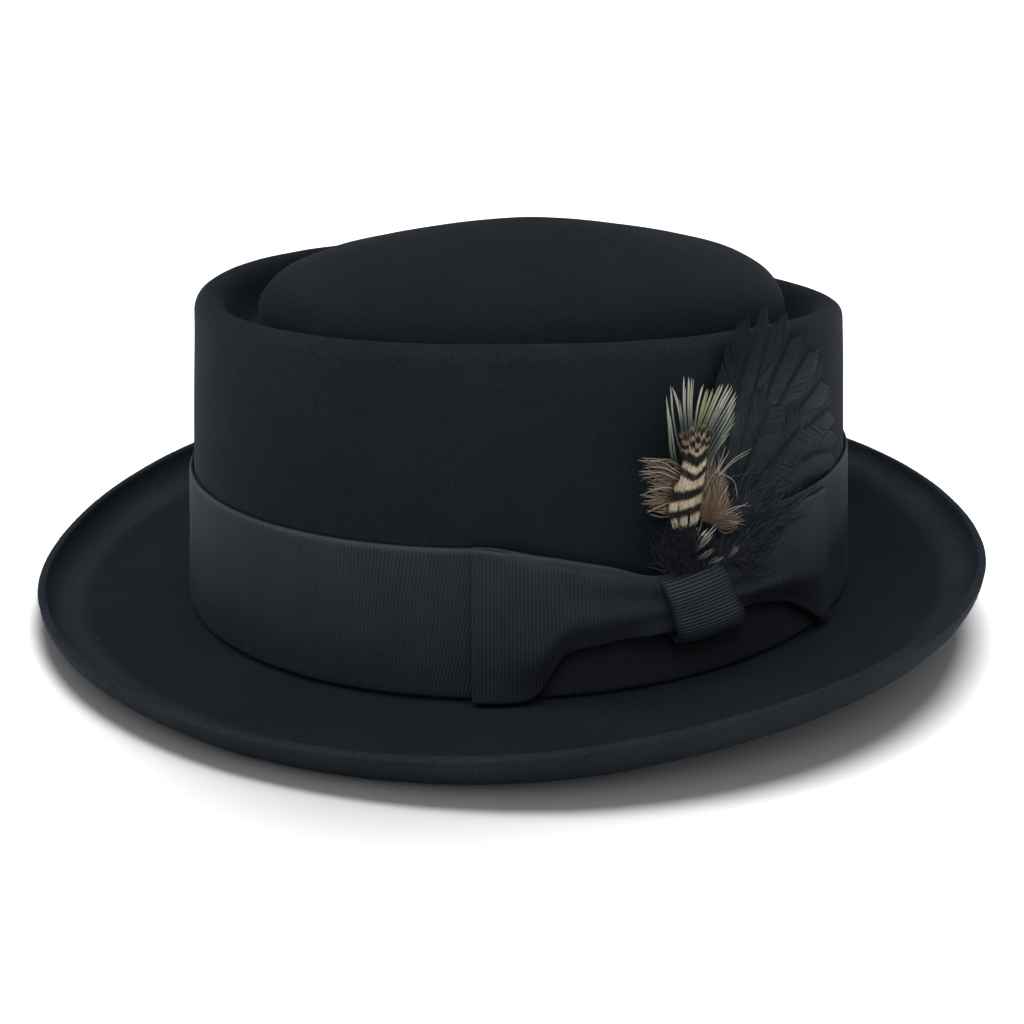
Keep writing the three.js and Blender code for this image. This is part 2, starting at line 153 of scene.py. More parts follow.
def felt_controls(turn):
    """The felt's upper surface from the middle of the tip out to the raw edge, ring by ring."""
    rings = []
    crest = rim_height(turn)
    top_length = half_length - END_LEAN
    top_width = half_width - SIDE_LEAN

    def add(place, z):
        x, y = place
        rings.append(np.stack(np.broadcast_arrays(x, y, z), axis=-1).astype(float))

    middle = float(np.mean(mix(dome_edge(turn), DOME_HEIGHT, DOME_MIDDLE_RISE)))
    add((0 * turn, 0 * turn), middle)
    for radius, rise in DOME_SECTIONS:
        z = mix(dome_edge(turn), DOME_HEIGHT, rise)
        length = (top_length - GUTTER_WIDTH) * radius
        add(on_oval(turn, length, (top_width - GUTTER_WIDTH) * radius, 0), z)
    for inset, drop in GUTTER_SECTIONS:
        add(on_oval(turn, top_length, top_width, -inset * GUTTER_WIDTH), crest - drop * GUTTER_DEPTH)
    for angle in RIM_ANGLES:
        inset = RIM_RADIUS * (1 - math.cos(math.radians(angle)))
        z = crest - RIM_RADIUS * (1 - math.sin(math.radians(angle)))
        add(on_oval(turn, top_length, top_width, -inset), z)
    for share in WALL_SHARES:
        rings.append(beside_wall(turn, mix(wall_foot, crest - RIM_RADIUS, share), 0))
    soften = JUNCTION_RADIUS * (1 - math.sqrt(0.5))
    add(on_oval(turn, half_length, half_width, soften), seat_top + soften)
    add(on_oval(turn, half_length, half_width, JUNCTION_RADIUS), seat_top)
    seat_end = JUNCTION_RADIUS + SEAT_WIDTH
    add(on_oval(turn, half_length, half_width, seat_end), seat_top)
    curl_start = brim_reach(turn) - FELT - CURL_RADIUS
    curl_foot = lip_height(turn) - curl_rise(turn)
    for station in BRIM_STATIONS:
        outward = mix(seat_end, curl_start, station)
        add(on_oval(turn, half_length, half_width, outward), mix(seat_top, curl_foot, station**BRIM_SWEEP))
    for angle in CURL_ANGLES:
        outward = curl_start + CURL_RADIUS * math.sin(math.radians(angle))
        z = curl_foot + curl_rise(turn) * (1 - math.cos(math.radians(angle)))
        add(on_oval(turn, half_length, half_width, outward), z)
    return np.array(rings)


def spline(points, steps, closed=False, first=None, straight=()):
    """A smooth curve through points[k] along axis 0, with steps[k] pieces after point k.

    It also gives the fractional index of each sample. first is the tangent at the start, and the
    pieces after the points in straight are straight lines.
    """
    count = len(points)
    pick = (lambda k: points[k % count]) if closed else (lambda k: points[min(max(k, 0), count - 1)])
    spans = count if closed else count - 1
    gap = [np.linalg.norm(pick(k + 1) - pick(k), axis=-1, keepdims=True) + 1e-9 for k in range(spans)]
    tangents = []
    for k in range(spans + 1):
        if not closed and k == 0:
            tangents.append(first if first is not None else (pick(1) - pick(0)) / gap[0])
            continue
        if not closed and k == spans:
            tangents.append((pick(k) - pick(k - 1)) / gap[k - 1])
            continue
        before, after = gap[(k - 1) % spans], gap[k % spans]
        into = (pick(k) - pick(k - 1)) / before
        out = (pick(k + 1) - pick(k)) / after
        if k in straight or k - 1 in straight:
            tangents.append(out if k in straight else into)
            continue
        tangents.append((into * after + out * before) / (before + after))
    found, level = [], []
    for k in range(spans):
        p, q = pick(k), pick(k + 1)
        m, n = tangents[k] * gap[k], tangents[k + 1] * gap[k]
        pieces = steps[k] if hasattr(steps, "__len__") else steps
        for i in range(pieces):
            t = i / pieces
            found.append(
                (2 * t**3 - 3 * t**2 + 1) * p
                + (t**3 - 2 * t**2 + t) * m
                + (3 * t**2 - 2 * t**3) * q
                + (t**3 - t**2) * n
            )
            level.append(k + t)
    if not closed:
        found.append(pick(spans))
        level.append(spans)
    return np.array(found), np.array(level)


# Meshes

def facing_out(points, faces):
    """The faces, all turned over where they would enclose a negative volume."""
    volume = 0
    for f in faces:
        for k in range(1, f.shape[1] - 1):
            volume += np.sum(np.cross(points[f[:, 0]], points[f[:, k]]) * points[f[:, k + 1]])
    return faces if volume > 0 else [f[:, ::-1] for f in faces]


def make_mesh(name, points, faces, material, replaces, colours=None, values=None, flat=False):
    """One object from points in millimetres and a list of face arrays, each (count, corners)."""
    points = np.asarray(points, float).reshape(-1, 3) + [0, CROWN_SHIFT, 0]
    faces = facing_out(points, faces)
    mesh = bpy.data.meshes.new(name)
    mesh.vertices.add(len(points))
    mesh.vertices.foreach_set("co", (points * MM).astype(np.float32).ravel())
    corners = np.concatenate([f.ravel() for f in faces]).astype(np.int32)
    sizes = np.concatenate([np.full(len(f), f.shape[1]) for f in faces])
    starts = np.concatenate([[0], np.cumsum(sizes)[:-1]]).astype(np.int32)
    mesh.loops.add(len(corners))
    mesh.loops.foreach_set("vertex_index", corners)
    mesh.polygons.add(len(sizes))
    mesh.polygons.foreach_set("loop_start", starts)
    mesh.polygons.foreach_set("use_smooth", np.full(len(sizes), not flat))
    mesh.update(calc_edges=True)
    mesh.validate()
    if colours is not None:
        rgba = np.ones((len(points), 4), np.float32)
        rgba[:, :3] = np.reshape(colours, (-1, 3))
        layer = mesh.attributes.new("tint", "FLOAT_COLOR", "POINT")
        layer.data.foreach_set("color", rgba.ravel())
    for key, data in (values or {}).items():
        layer = mesh.attributes.new(key, "FLOAT", "POINT")
        layer.data.foreach_set("value", np.asarray(data, np.float32).ravel())
    mesh.materials.append(material)
    piece = bpy.data.objects.new(name, mesh)
    bpy.context.scene.collection.objects.link(piece)
    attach(piece, "root")
    if replaces:
        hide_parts(*replaces)
    return piece


def grid_faces(rows, columns, close_rows=False, close_columns=False):
    """Quads of a grid whose points are listed row by row."""
    r = np.arange(rows if close_rows else rows - 1)
    c = np.arange(columns if close_columns else columns - 1)
    r, c = np.meshgrid(r, c, indexing="ij")
    here, below = r * columns, (r + 1) % rows * columns
    beside = (c + 1) % columns
    return np.stack([here + c, below + c, below + beside, here + beside], axis=-1).reshape(-1, 4)


def normals_of(grid):
    """Unit normals of a grid (rings, round, 3) that closes round, pointing up and out."""
    along = np.gradient(grid, axis=0)
    round_ = np.roll(grid, -1, axis=1) - np.roll(grid, 1, axis=1)
    n = np.cross(along, round_)
    n /= np.linalg.norm(n, axis=-1, keepdims=True) + 1e-12
    return n


# Materials

FELT_SHADES = ((0.0078, 0.0108, 0.0147), (0.0106, 0.0141, 0.0183))
FELT_FLECKS = ((0.72, 0.73, 0.75), (1.12, 1.12, 1.12))
FELT_LIGHT_AND_WEAR = (1.85, 1.82, 1.78)  # how much lighter the felt is on the curl's outer face, the rim's crest and the nap: painted bounce light and a painted highlight, with some edge wear
LINT_SHADES = ((0.09, 0.095, 0.1), (0.2, 0.2, 0.2))
RIBBON_SHADES = ((0.0176, 0.0219, 0.0296), (0.0226, 0.0273, 0.0354))
THREAD_PITCH = 0.27  # the fine threads along a ribbon
THREAD_RELIEF = 0.00006
BAND_RIB_LIGHT = 0.8  # how much painted highlight the ribs of the band and loops get; the knot's are at 1
# Painted light and shade on the ribs: darker in the grooves, lighter on the crests
RIB_LIGHT_AND_SHADE = [
    (0, (0.42, 0.42, 0.44)), (0.25, (0.76, 0.76, 0.77)), (0.5, (0.93, 0.93, 0.93)),
    (BAND_RIB_LIGHT, (1.13, 1.13, 1.12)), (1, (3, 3, 2.95)),
]


def new_material(name):
    material = bpy.data.materials.new(name)
    material.use_nodes = True
    tree = material.node_tree
    shader = next(n for n in tree.nodes if n.type == "BSDF_PRINCIPLED")
    return material, tree, shader


def set_inputs(shader, values):
    for name, value in values.items():
        shader.inputs[name].default_value = value


def finish(tree, shader, colour, relief, inputs):
    tree.links.new(colour, shader.inputs["Base Color"])
    tree.links.new(relief, shader.inputs["Normal"])
    set_inputs(shader, inputs)


def noise_node(tree, scale, detail, rough):
    place = tree.nodes.new("ShaderNodeTexCoord")
    node = tree.nodes.new("ShaderNodeTexNoise")
    set_inputs(node, {"Scale": scale, "Detail": detail, "Roughness": rough})
    tree.links.new(place.outputs["Object"], node.inputs["Vector"])
    return node.outputs["Fac"]


def ramp_node(tree, source, stops):
    node = tree.nodes.new("ShaderNodeValToRGB")
    elements = node.color_ramp.elements
    while len(elements) < len(stops):
        elements.new(0.5)
    for element, (place, colour) in zip(elements, stops):
        element.position = place
        element.color = (*colour, 1)
    tree.links.new(source, node.inputs["Fac"])
    return node.outputs["Color"]


def cloud_node(tree, shades, scale, detail, rough, low=0.3, high=0.7):
    """Two shades mixed by noise: the first where it is under low, the second where it is over high."""
    return ramp_node(tree, noise_node(tree, scale, detail, rough), list(zip((low, high), shades)))


def grain_node(tree, scale, detail, rough, strength, distance, before=None):
    """Fine relief by noise, laid over what is in before."""
    return bump_node(tree, noise_node(tree, scale, detail, rough), strength, distance, before)


def bump_node(tree, height, strength, distance, before=None):
    node = tree.nodes.new("ShaderNodeBump")
    set_inputs(node, {"Strength": strength, "Distance": distance})
    tree.links.new(height, node.inputs["Height"])
    if before is not None:
        tree.links.new(before, node.inputs["Normal"])
    return node.outputs["Normal"]


def multiply_node(tree, a, b):
    node = tree.nodes.new("ShaderNodeMix")
    node.data_type = "RGBA"
    node.blend_type = "MULTIPLY"
    next(s for s in node.inputs if s.type == "VALUE").default_value = 1
    for socket, source in zip([s for s in node.inputs if s.type == "RGBA"], (a, b)):
        tree.links.new(source, socket)
    return next(s for s in node.outputs if s.type == "RGBA")


def attribute_node(tree, name, output="Fac"):
    node = tree.nodes.new("ShaderNodeAttribute")
    node.attribute_name = name
    return node.outputs[output]


def math_node(tree, operation, source, value=0):
    node = tree.nodes.new("ShaderNodeMath")
    node.operation = operation
    node.inputs[1].default_value = value
    tree.links.new(source, node.inputs[0])
    return node.outputs[0]


def felt_material():
    material, tree, shader = new_material("felt")
    cloud = cloud_node(tree, FELT_SHADES, 38, 3, 0.55)
    fleck = cloud_node(tree, FELT_FLECKS, 1500, 2, 0.7, 0.35, 0.62)
    # Painted light: lighter felt on the curl's outer face (painted bounce light) and on the rim's crest
    # (painted highlight), with some edge wear
    painted_light = ramp_node(tree, attribute_node(tree, "light_and_wear"), [(0, (1, 1, 1)), (1, FELT_LIGHT_AND_WEAR)])
    colour = multiply_node(tree, multiply_node(tree, cloud, fleck), painted_light)
    nap = grain_node(tree, 260, 5, 0.62, 0.3, 0.0005)
    finish(tree, shader, colour, grain_node(tree, 1900, 3, 0.7, 0.5, 0.0002, nap), {
        "Roughness": 0.92, "Specular IOR Level": 0.07,
        "Sheen Weight": 0.038, "Sheen Roughness": 0.4, "Sheen Tint": (0.62, 0.72, 0.8, 1),
    })
    return material


def lint_material():
    material, tree, shader = new_material("lint")
    shade = cloud_node(tree, LINT_SHADES, 900, 2, 0.6, 0.35, 0.65)
    tree.links.new(shade, shader.inputs["Base Color"])
    set_inputs(shader, {"Roughness": 0.8})
    return material


def ribbon_material():
    """Grosgrain. The attributes hold the painted light and shade of its ribs and the millimetres across it.
    """
    material, tree, shader = new_material("grosgrain")
    turns = math_node(tree, "MULTIPLY", attribute_node(tree, "across"), 2 * math.pi / THREAD_PITCH)
    threads = bump_node(tree, math_node(tree, "SINE", turns), 0.4, THREAD_RELIEF)
    cloud = cloud_node(tree, RIBBON_SHADES, 90, 4, 0.6)
    # Painted shade in the rib grooves and painted highlight on the crests and the upper edge
    painted_light = ramp_node(tree, attribute_node(tree, "crest"), RIB_LIGHT_AND_SHADE)
    relief = grain_node(tree, 2600, 2, 0.6, 0.35, 0.0001, threads)
    finish(tree, shader, multiply_node(tree, cloud, painted_light), relief, {
        "Roughness": 0.55, "Specular IOR Level": 0.12,
        "Sheen Weight": 0.055, "Sheen Roughness": 0.35, "Sheen Tint": (0.8, 0.86, 0.92, 1),
    })
    return material


def feather_material(name, roughness, specular, sheen, spread):
    """The colour comes from the strands' own tints, varied a little from place to place."""
    material, tree, shader = new_material(name)
    vary = cloud_node(tree, ((1 - spread,) * 3, (1 + spread,) * 3), 700, 3, 0.6)
    colour = multiply_node(tree, attribute_node(tree, "tint", "Color"), vary)
    finish(tree, shader, colour, grain_node(tree, 2400, 2, 0.6, 0.3, 0.00008), {
        "Roughness": roughness, "Specular IOR Level": specular,
        "Sheen Weight": sheen, "Sheen Roughness": 0.4,
    })
    return material


felt = felt_material()
lint = lint_material()
ribbon = ribbon_material()
black_vane = feather_material("black_vane", 0.58, 0.05, 0.02, 0.16)
black_fluff = feather_material("black_fluff", 0.8, 0.03, 0.015, 0.3)
brown_fluff = feather_material("brown_fluff", 0.7, 0.2, 0.1, 0.2)
pale_vane = feather_material("pale_vane", 0.45, 0.35, 0.1, 0.15)
barred_vane = feather_material("barred_vane", 0.65, 0.1, 0.02, 0.15)


# Felt

TURNS = 232
FELT_STEPS = [8] + [7] * 5 + [3] + [4] * 3 + [3] + [4] * 4 + [16, 16, 3, 3, 3, 7, 7, 7, 6, 6, 6, 6]
# Where some of the rings of felt_controls are, counted from the middle of the tip
RIM_RING = 1 + len(DOME_SECTIONS) + len(GUTTER_SECTIONS)
WALL_RING = RIM_RING + len(RIM_ANGLES) - 1
SEAT_RING = WALL_RING + len(WALL_SHARES) + 2
CURL_RING = SEAT_RING + 1 + len(BRIM_STATIONS)
FELT_STRAIGHT = (WALL_RING, WALL_RING + 1, SEAT_RING)
WAVE = 0.42  # how far the hand-blocked surface strays
EDGE_BULGE = 0.3
EDGE_STEPS = [0.12, 0.35, 0.65, 0.88]
# How far past the raw edge the painted bounce light on the curl's outer face fades out, and below, how
# strong the painted highlight along the rim's crest is
CURL_LIGHT_FADE = (6 + len(EDGE_STEPS), 24 + len(EDGE_STEPS))  # rows past the raw edge
RIM_HIGHLIGHT = 0.3
NAP_HAIRS = 9000
NAP_THICKNESS = 0.028
LINT_SPECKS = 26
LINT_THICKNESS = 0.04


def hand_wave(point):
    """How far the felt strays at a place, as a share of WAVE, by a wide and a narrow noise."""
    place = Vector(point)
    return noise.noise(place * 0.021) + 0.35 * noise.noise(place * 0.07 + Vector((9, 0, 0)))


def felt_piece():
    turn = np.arange(TURNS) * 2 * np.pi / TURNS
    controls = felt_controls(turn)
    start = controls[1] - controls[0]
    start[:, 2] = 0
    start /= np.linalg.norm(start, axis=-1, keepdims=True)
    upper, level = spline(controls, FELT_STEPS, first=start, straight=FELT_STRAIGHT)
    n = normals_of(upper)
    n[0] = [0, 0, 1]
    free = 1 - span(level, WALL_RING, WALL_RING + 0.8, SEAT_RING + 1.5, SEAT_RING + 3.5)
    wave = np.array([[hand_wave(p) for p in ring] for ring in upper.tolist()])
    wave[0] = wave[0].mean()
    upper = upper + n * (WAVE * free[:, None] * wave)[..., None]
    n = normals_of(upper)
    n[0] = [0, 0, 1]
    lower = upper - FELT * n
    lower[..., 2] = np.maximum(lower[..., 2], 0)
    end = upper[-1] - upper[-2]
    end /= np.linalg.norm(end, axis=-1, keepdims=True)
    bulge = [end * EDGE_BULGE * math.sin(math.pi * s) ** 0.7 for s in EDGE_STEPS]
    edge = np.array([mix(upper[-1], lower[-1], s) + b for s, b in zip(EDGE_STEPS, bulge)])
    rings = np.concatenate([upper[1:], edge, lower[1:][::-1]])
    points = np.concatenate([rings.reshape(-1, 3), upper[0][:1], lower[0][:1]])
    rows = len(rings)
    top, bottom = rows * TURNS, rows * TURNS + 1
    i = np.arange(TURNS)
    j = (i + 1) % TURNS
    last = (rows - 1) * TURNS
    caps = [
        np.stack([0 * i + top, i, j], axis=-1),
        np.stack([0 * i + bottom, last + j, last + i], axis=-1),
    ]
    place = np.concatenate([level[1:], np.full(len(EDGE_STEPS), level[-1]), level[1:][::-1]])
    past_edge = np.arange(rows) - len(upper)
    # Painted light: the curl's outer face is lighter for painted bounce light from the floor, and the rim's
    # crest for a painted highlight, with some edge wear
    curl = smooth(CURL_RING - 1.4, CURL_RING - 0.4, place) * (1 - smooth(*CURL_LIGHT_FADE, past_edge))
    rim = RIM_HIGHLIGHT * bump_at(place, RIM_RING + 2.6, 1.3) * (past_edge < len(EDGE_STEPS))
    painted_light = np.maximum(curl, rim)
    light_and_wear = np.concatenate([np.repeat(painted_light, TURNS), painted_light[:1], [0]])
    faces = [grid_faces(rows, TURNS, close_columns=True), *caps]
    make_mesh("felt", points, faces, felt, ["felt_body"], values={"light_and_wear": light_and_wear})
    return rings, len(upper) - 1


def short_hairs(name, roots, directions, lengths, thickness, material):
    """Three-sided hairs, each bent a little at its middle, from roots on the felt."""
    count = len(roots)
    side = np.cross(directions, [0.31, 0.52, 0.79])
    side /= np.linalg.norm(side, axis=1, keepdims=True)
    third = np.cross(directions, side)
    ring = [math.cos(a) * side + math.sin(a) * third for a in (0, 2 * math.pi / 3, 4 * math.pi / 3)]
    middle = roots + directions * lengths[:, None] * 0.5 + side * lengths[:, None] * 0.1
    tip = roots + directions * lengths[:, None]
    rows = [roots + thickness * r for r in ring] + [middle + 0.7 * thickness * r for r in ring] + [tip]
    first = np.arange(count)[:, None, None] * len(rows)
    quads = first + np.array([[0, 1, 4, 3], [1, 2, 5, 4], [2, 0, 3, 5]])
    ends = first + np.array([[0, 2, 1], [3, 4, 6], [4, 5, 6], [5, 3, 6]])
    faces = [quads.reshape(-1, 4), ends.reshape(-1, 3)]
    # The hairs carry the felt's painted light and edge wear in full, so they are lighter
    light_and_wear = np.ones(count * len(rows))
    make_mesh(name, np.stack(rows, axis=1), faces, material, (), values={"light_and_wear": light_and_wear})


def felt_hairs(rings, edge_row):
    """The fuzz of the brim's raw edge and curl, and a few specks of lint."""
    rng = np.random.default_rng(3)
    n = normals_of(rings)

    def places(rows, columns):
        spot = rings[rows, columns]
        beside = rings[rows, (columns + 1) % TURNS]
        return mix(spot, beside, rng.uniform(0, 1, (len(rows), 1))), n[rows, columns]

    rows = np.round(rng.normal(edge_row + 1, 4.5, NAP_HAIRS)).astype(int)
    rows = np.clip(rows, edge_row - 18, edge_row + 14)
    root, out = places(rows, rng.integers(0, TURNS, NAP_HAIRS))
    way = out + rng.normal(0, 0.55, out.shape)
    way /= np.linalg.norm(way, axis=1, keepdims=True)
    short_hairs("felt_nap", root, way, rng.uniform(0.2, 0.75, NAP_HAIRS), NAP_THICKNESS, felt)
    rows = rng.integers(20, edge_row - 4, LINT_SPECKS)
    root, out = places(rows, rng.integers(0, TURNS, LINT_SPECKS))
    way = np.cross(out, rng.normal(0, 1, out.shape))
    way = way / np.linalg.norm(way, axis=1, keepdims=True) + 0.15 * out
    lengths = rng.uniform(0.3, 1.3, LINT_SPECKS)
    short_hairs("lint", root + 0.06 * out, way, lengths, LINT_THICKNESS, lint)


felt_hairs(*felt_piece())

# Lengths along the band, from the front of the hat round its left side
ARC_STEPS = 4000
arc_turn = np.linspace(0, 2 * np.pi, ARC_STEPS + 1)
arc_x, arc_y = on_oval(arc_turn, half_length, half_width, band_outside)
arc_length = np.concatenate([[0], np.cumsum(np.hypot(np.diff(arc_x), np.diff(arc_y)))])
side_length = float(np.interp(np.pi / 2, arc_turn, arc_length))
BAND_LENGTH = float(arc_length[-1])


def turn_at(along):
    return np.interp(along + side_length, arc_length, arc_turn)


def on_band(along, z, off):
    """A place on the bow or trim: along the band from the knot, up, and out from the band."""
    return beside_wall(turn_at(along - BOW_FORWARD), z, band_outside + off)


# Ribbon

RIB_PITCH = 0.88
RIB_DEPTH = 0.17
RIB_STEPS = 6
SCALLOP = 0.12  # how much each rib stands out of the ribbon's edge


def rib(u):
    """Height of a rib, 0 in the groove and 1 on its crest, at u ribs along the ribbon."""
    return np.sqrt(np.abs(np.sin(np.pi * u)))


# Each half of the bow: share of its length from the knot, and its upper and lower edges as shares
# of the ribbon's width
FRONT_EDGES = [
    (0, 0.74, 0.38), (0.2, 0.77, 0.375), (0.36, 0.845, 0.37), (0.52, 0.9, 0.345), (0.6, 0.93, 0.325),
    (0.64, 0.945, 0.28), (0.68, 0.955, 0.15), (0.72, 0.965, 0.04), (0.78, 0.985, 0), (0.9, 1.02, 0),
    (1, 1.035, 0),
]
BACK_EDGES = [
    (0, 0.72, 0.4), (0.2, 0.75, 0.42), (0.4, 0.86, 0.4), (0.6, 0.93, 0.33), (0.75, 0.97, 0.2),
    (0.86, 0.99, 0.07), (1, 1, 0.01),
]
EDGE_SOFTNESS = 0.045
TOP_EDGE_HIGHLIGHT = 0.86  # the painted highlight along the ribbon's upper edge
TOP_EDGE_HIGHLIGHT_START = 0.97  # where the painted highlight starts, as a share of the ribbon's width
SKEW = 8.5  # how far the band's ribs lean where the bow's stitches pull them
SKEW_SPAN = (-105, -62, -52, -20)
BAND_DIP = 0.06  # how far the band's upper edge stays under the bow's
BAND_DIP_START = (-1.03, -0.94)  # where it dips, as shares of the front half's length
BAND_SHADE_SPAN = (-50, -38, 40, 50)  # where the bow lies over the band, which is painted darker there: painted shade
BAND_ROWS = [0, 0.02, 0.06, 0.25, 0.5, 0.75, 0.94, 0.98, 1]


def loop_edge(edges, share, column):
    """A smooth edge of the loop: the average of the straight-line value near the place."""
    marks = [row[0] for row in edges]
    values = [row[column] for row in edges]
    near = np.linspace(-EDGE_SOFTNESS, EDGE_SOFTNESS, 7)
    return sum(np.interp(share + d, marks, values) for d in near) / len(near)


def ribbon_mesh(name, rows, faces, rib_light, places, node):
    """A ribbon, with the painted light and shade of its ribs and the place across it at each point."""
    values = {"crest": np.array(rib_light), "across": np.array(places)}
    return make_mesh(name, np.array(rows), faces, ribbon, [node], values=values)


def band_piece():
    ribs = round(BAND_LENGTH / RIB_PITCH)
    columns = ribs * RIB_STEPS
    u = np.arange(columns) / RIB_STEPS
    height = rib(u)
    place = u / ribs * BAND_LENGTH
    turn = np.interp(place, arc_length, arc_turn)
    along = place - side_length + BOW_FORWARD
    behind = loop_edge(FRONT_EDGES, -along / BOW_HALF_LENGTH, 1) - BAND_DIP
    behind = np.where(along < 0, behind, mix(behind, 1, smooth(4, 15, along)))
    drawn = smooth(*BAND_DIP_START, along / BOW_HALF_LENGTH) * (1 - smooth(14, 16, along))
    head = mix(1, behind, drawn)
    lean = SKEW * span(along, *SKEW_SPAN)
    # Painted shade on the band under the bow: its ribs get less painted highlight there
    bow_shade = span(along, *BAND_SHADE_SPAN)
    slack = np.array([noise.noise(Vector((math.cos(t) * 3, math.sin(t) * 3, 1.7))) for t in turn])
    rows, rib_light, places = [], [], []

    def row(v, outward, edge):
        z = band_foot + RIBBON_WIDTH * v * head + SCALLOP * (height - 0.6) * ((v == 1) - (v == 0))
        here = np.interp(place + lean * (v - 0.5), arc_length, arc_turn)
        rows.append(beside_wall(here, z, outward))
        # A painted highlight along the upper edge of the ribbon's face
        if v > TOP_EDGE_HIGHLIGHT_START and edge + v >= 1:
            rib_light.append(0 * height + TOP_EDGE_HIGHLIGHT * (outward[0] > GAP + 0.1))
        else:
            # Painted highlight on the rib crests, less of it where the bow lies over the band (painted
            # shade)
            rib_light.append(height * edge * BAND_RIB_LIGHT * (1 - 0.7 * bow_shade))
        places.append(np.full(columns, v * RIBBON_WIDTH))

    for v in BAND_ROWS:
        edge = 1 if 0 < v < 1 else 0
        lift = 0.16 * np.maximum(slack, 0) * smooth(0.7, 1, v)
        row(v, band_outside - 0.12 + RIB_DEPTH * height * edge + lift - 0.12 * (1 - edge), edge)
    for v in (1, 0):
        row(v, GAP + 0.05 + 0 * height, 0)
    faces = grid_faces(len(rows), columns, close_rows=True, close_columns=True)
    piece = ribbon_mesh("band", rows, [faces], rib_light, places, "hat_band")


band_piece()

# Where the ribbon of half a bow runs: share of its length from the knot, and of the bow's thickness
LOOP_PATH = [
    (0.01, 0.34), (0.22, 0.34), (0.36, 0.13), (0.7, 0.13), (0.96, 0.13), (0.99, 0.2), (0.99, 0.32),
    (0.94, 0.42), (0.8, 0.6), (0.62, 0.8), (0.44, 0.85), (0.3, 0.74), (0.21, 0.6), (0.01, 0.56),
]
LOOP_INNER = [(0, 0.34), (0.22, 0.34), (0.36, 0.13), (1, 0.13)]  # its layer beside the band
LOOP_ROWS = 33
FOLD_LEAN = 1.2  # how much further out the fold is at its foot
PUCKERS = [(0.945, 0.1), (0.925, 0.19), (0.95, 0.27)]  # dents where the fold is stitched: share, up
PUCKER_DEPTH = 1.5
LOOP_HALF = 0.36  # half the ribbon's thickness in the bow


def ribbed_path(marks, pieces, closed=False):
    """A ribbon in section: its path, the way along it, how high its ribs are, and its length."""
    path, _ = spline(marks, pieces, closed=closed)
    if closed:
        path = np.concatenate([path, path[:1]])
    run = np.concatenate([[0], np.cumsum(np.linalg.norm(np.diff(path, axis=0), axis=1))])
    total = run[-1]
    ribs = round(total / RIB_PITCH)
    want = np.linspace(0, total, ribs * RIB_STEPS + 1)
    path = np.stack([np.interp(want, run, values) for values in path.T], axis=1)
    if closed:
        path, want = path[:-1], want[:-1]
        tangent = np.roll(path, -1, axis=0) - np.roll(path, 1, axis=0)
    else:
        tangent = np.gradient(path, axis=0)
    tangent /= np.linalg.norm(tangent, axis=1, keepdims=True)
    return path, tangent, rib(want / total * ribs), want, total


def loop_piece(name, side, node, seed):
    marks = np.array(LOOP_PATH) * [BOW_HALF_LENGTH, BOW_THICKNESS]
    path, tangent, height, run, total = ribbed_path(marks, 12)
    share = path[:, 0] / BOW_HALF_LENGTH
    outer = smooth(0.5, 0.62, run / total)
    edges = FRONT_EDGES if side < 0 else BACK_EDGES
    head, foot = loop_edge(edges, share, 1), loop_edge(edges, share, 2)
    near = 1 - smooth(0.3, 0.75, share)
    inner = np.interp(share, *np.array(LOOP_INNER).T) * BOW_THICKNESS
    notch = bump_at(share, 0.9, 0.05) * (side < 0)
    drop = 0.3 * notch * outer + 0.4 * (1 - outer)
    knot_lean = KNOT_LEAN * 1.5 * (1 - smooth(0.1, 0.5, share)) * KNOT_HEIGHT / RIBBON_WIDTH
    fold_lean = FOLD_LEAN * smooth(0.5, 1, share) * side
    rows, rib_light, places = [], [], []

    def row(v, way):
        z = band_foot + RIBBON_WIDTH * mix(foot, head, v) - drop * smooth(0.8, 1, v)
        middle = 2 * v - 1
        pleat = 0.34 * near * outer * np.cos(2 * np.pi * (2.4 * v + 0.15 * seed)) * smooth(0, 0.12, share)
        buckle = 0.28 * outer * np.sin(share * 7 + seed) * middle * span(share, 0.2, 0.4, 0.85, 0.98)
        off = path[:, 1] + pleat + buckle
        shut = 0.85 * smooth(0.94, 1, v) ** 1.3 * (1 - 0.6 * notch) + 0.86 * (1 - smooth(0, 0.36, v))
        off = mix(off, np.minimum(off, inner + 2.3 * LOOP_HALF), shut * outer)
        for spot, up in PUCKERS if side < 0 else []:
            off = off - PUCKER_DEPTH * outer * bump_at(share, spot, 0.022) * bump_at(v, up, 0.035)
        edge = 1 - abs(middle) ** 30
        half = LOOP_HALF + (RIB_DEPTH * height - 0.1) * edge * (way < 0) - 0.1 * (1 - edge)
        lean = knot_lean * (0.5 - v) + fold_lean * (1 - v)
        along = path[:, 0] + way * -half * tangent[:, 1]
        rows.append(on_band(side * along + lean, z, off + way * half * tangent[:, 0]))
        # Painted highlight along the upper edge and on the rib crests of the outer layer
        rib_light.append(np.where(v > TOP_EDGE_HIGHLIGHT_START, TOP_EDGE_HIGHLIGHT, height * edge * (way < 0) * BAND_RIB_LIGHT))
        places.append(np.full(len(run), v * RIBBON_WIDTH))

    steps = np.linspace(0, 1, LOOP_ROWS)
    steps = np.concatenate([[0, 0.012], steps[1:-1], [0.988, 1]])
    for v in steps:
        row(v, -1)
    for v in steps[::-1][::2]:
        row(v, 1)
    count, columns = len(rows), len(run)
    faces = grid_faces(count, columns, close_rows=True)
    start = np.arange(count)[None, :] * columns
    ends = [start, start[:, ::-1] + columns - 1]
    piece = ribbon_mesh(name, rows, [faces, *ends], rib_light, places, node)


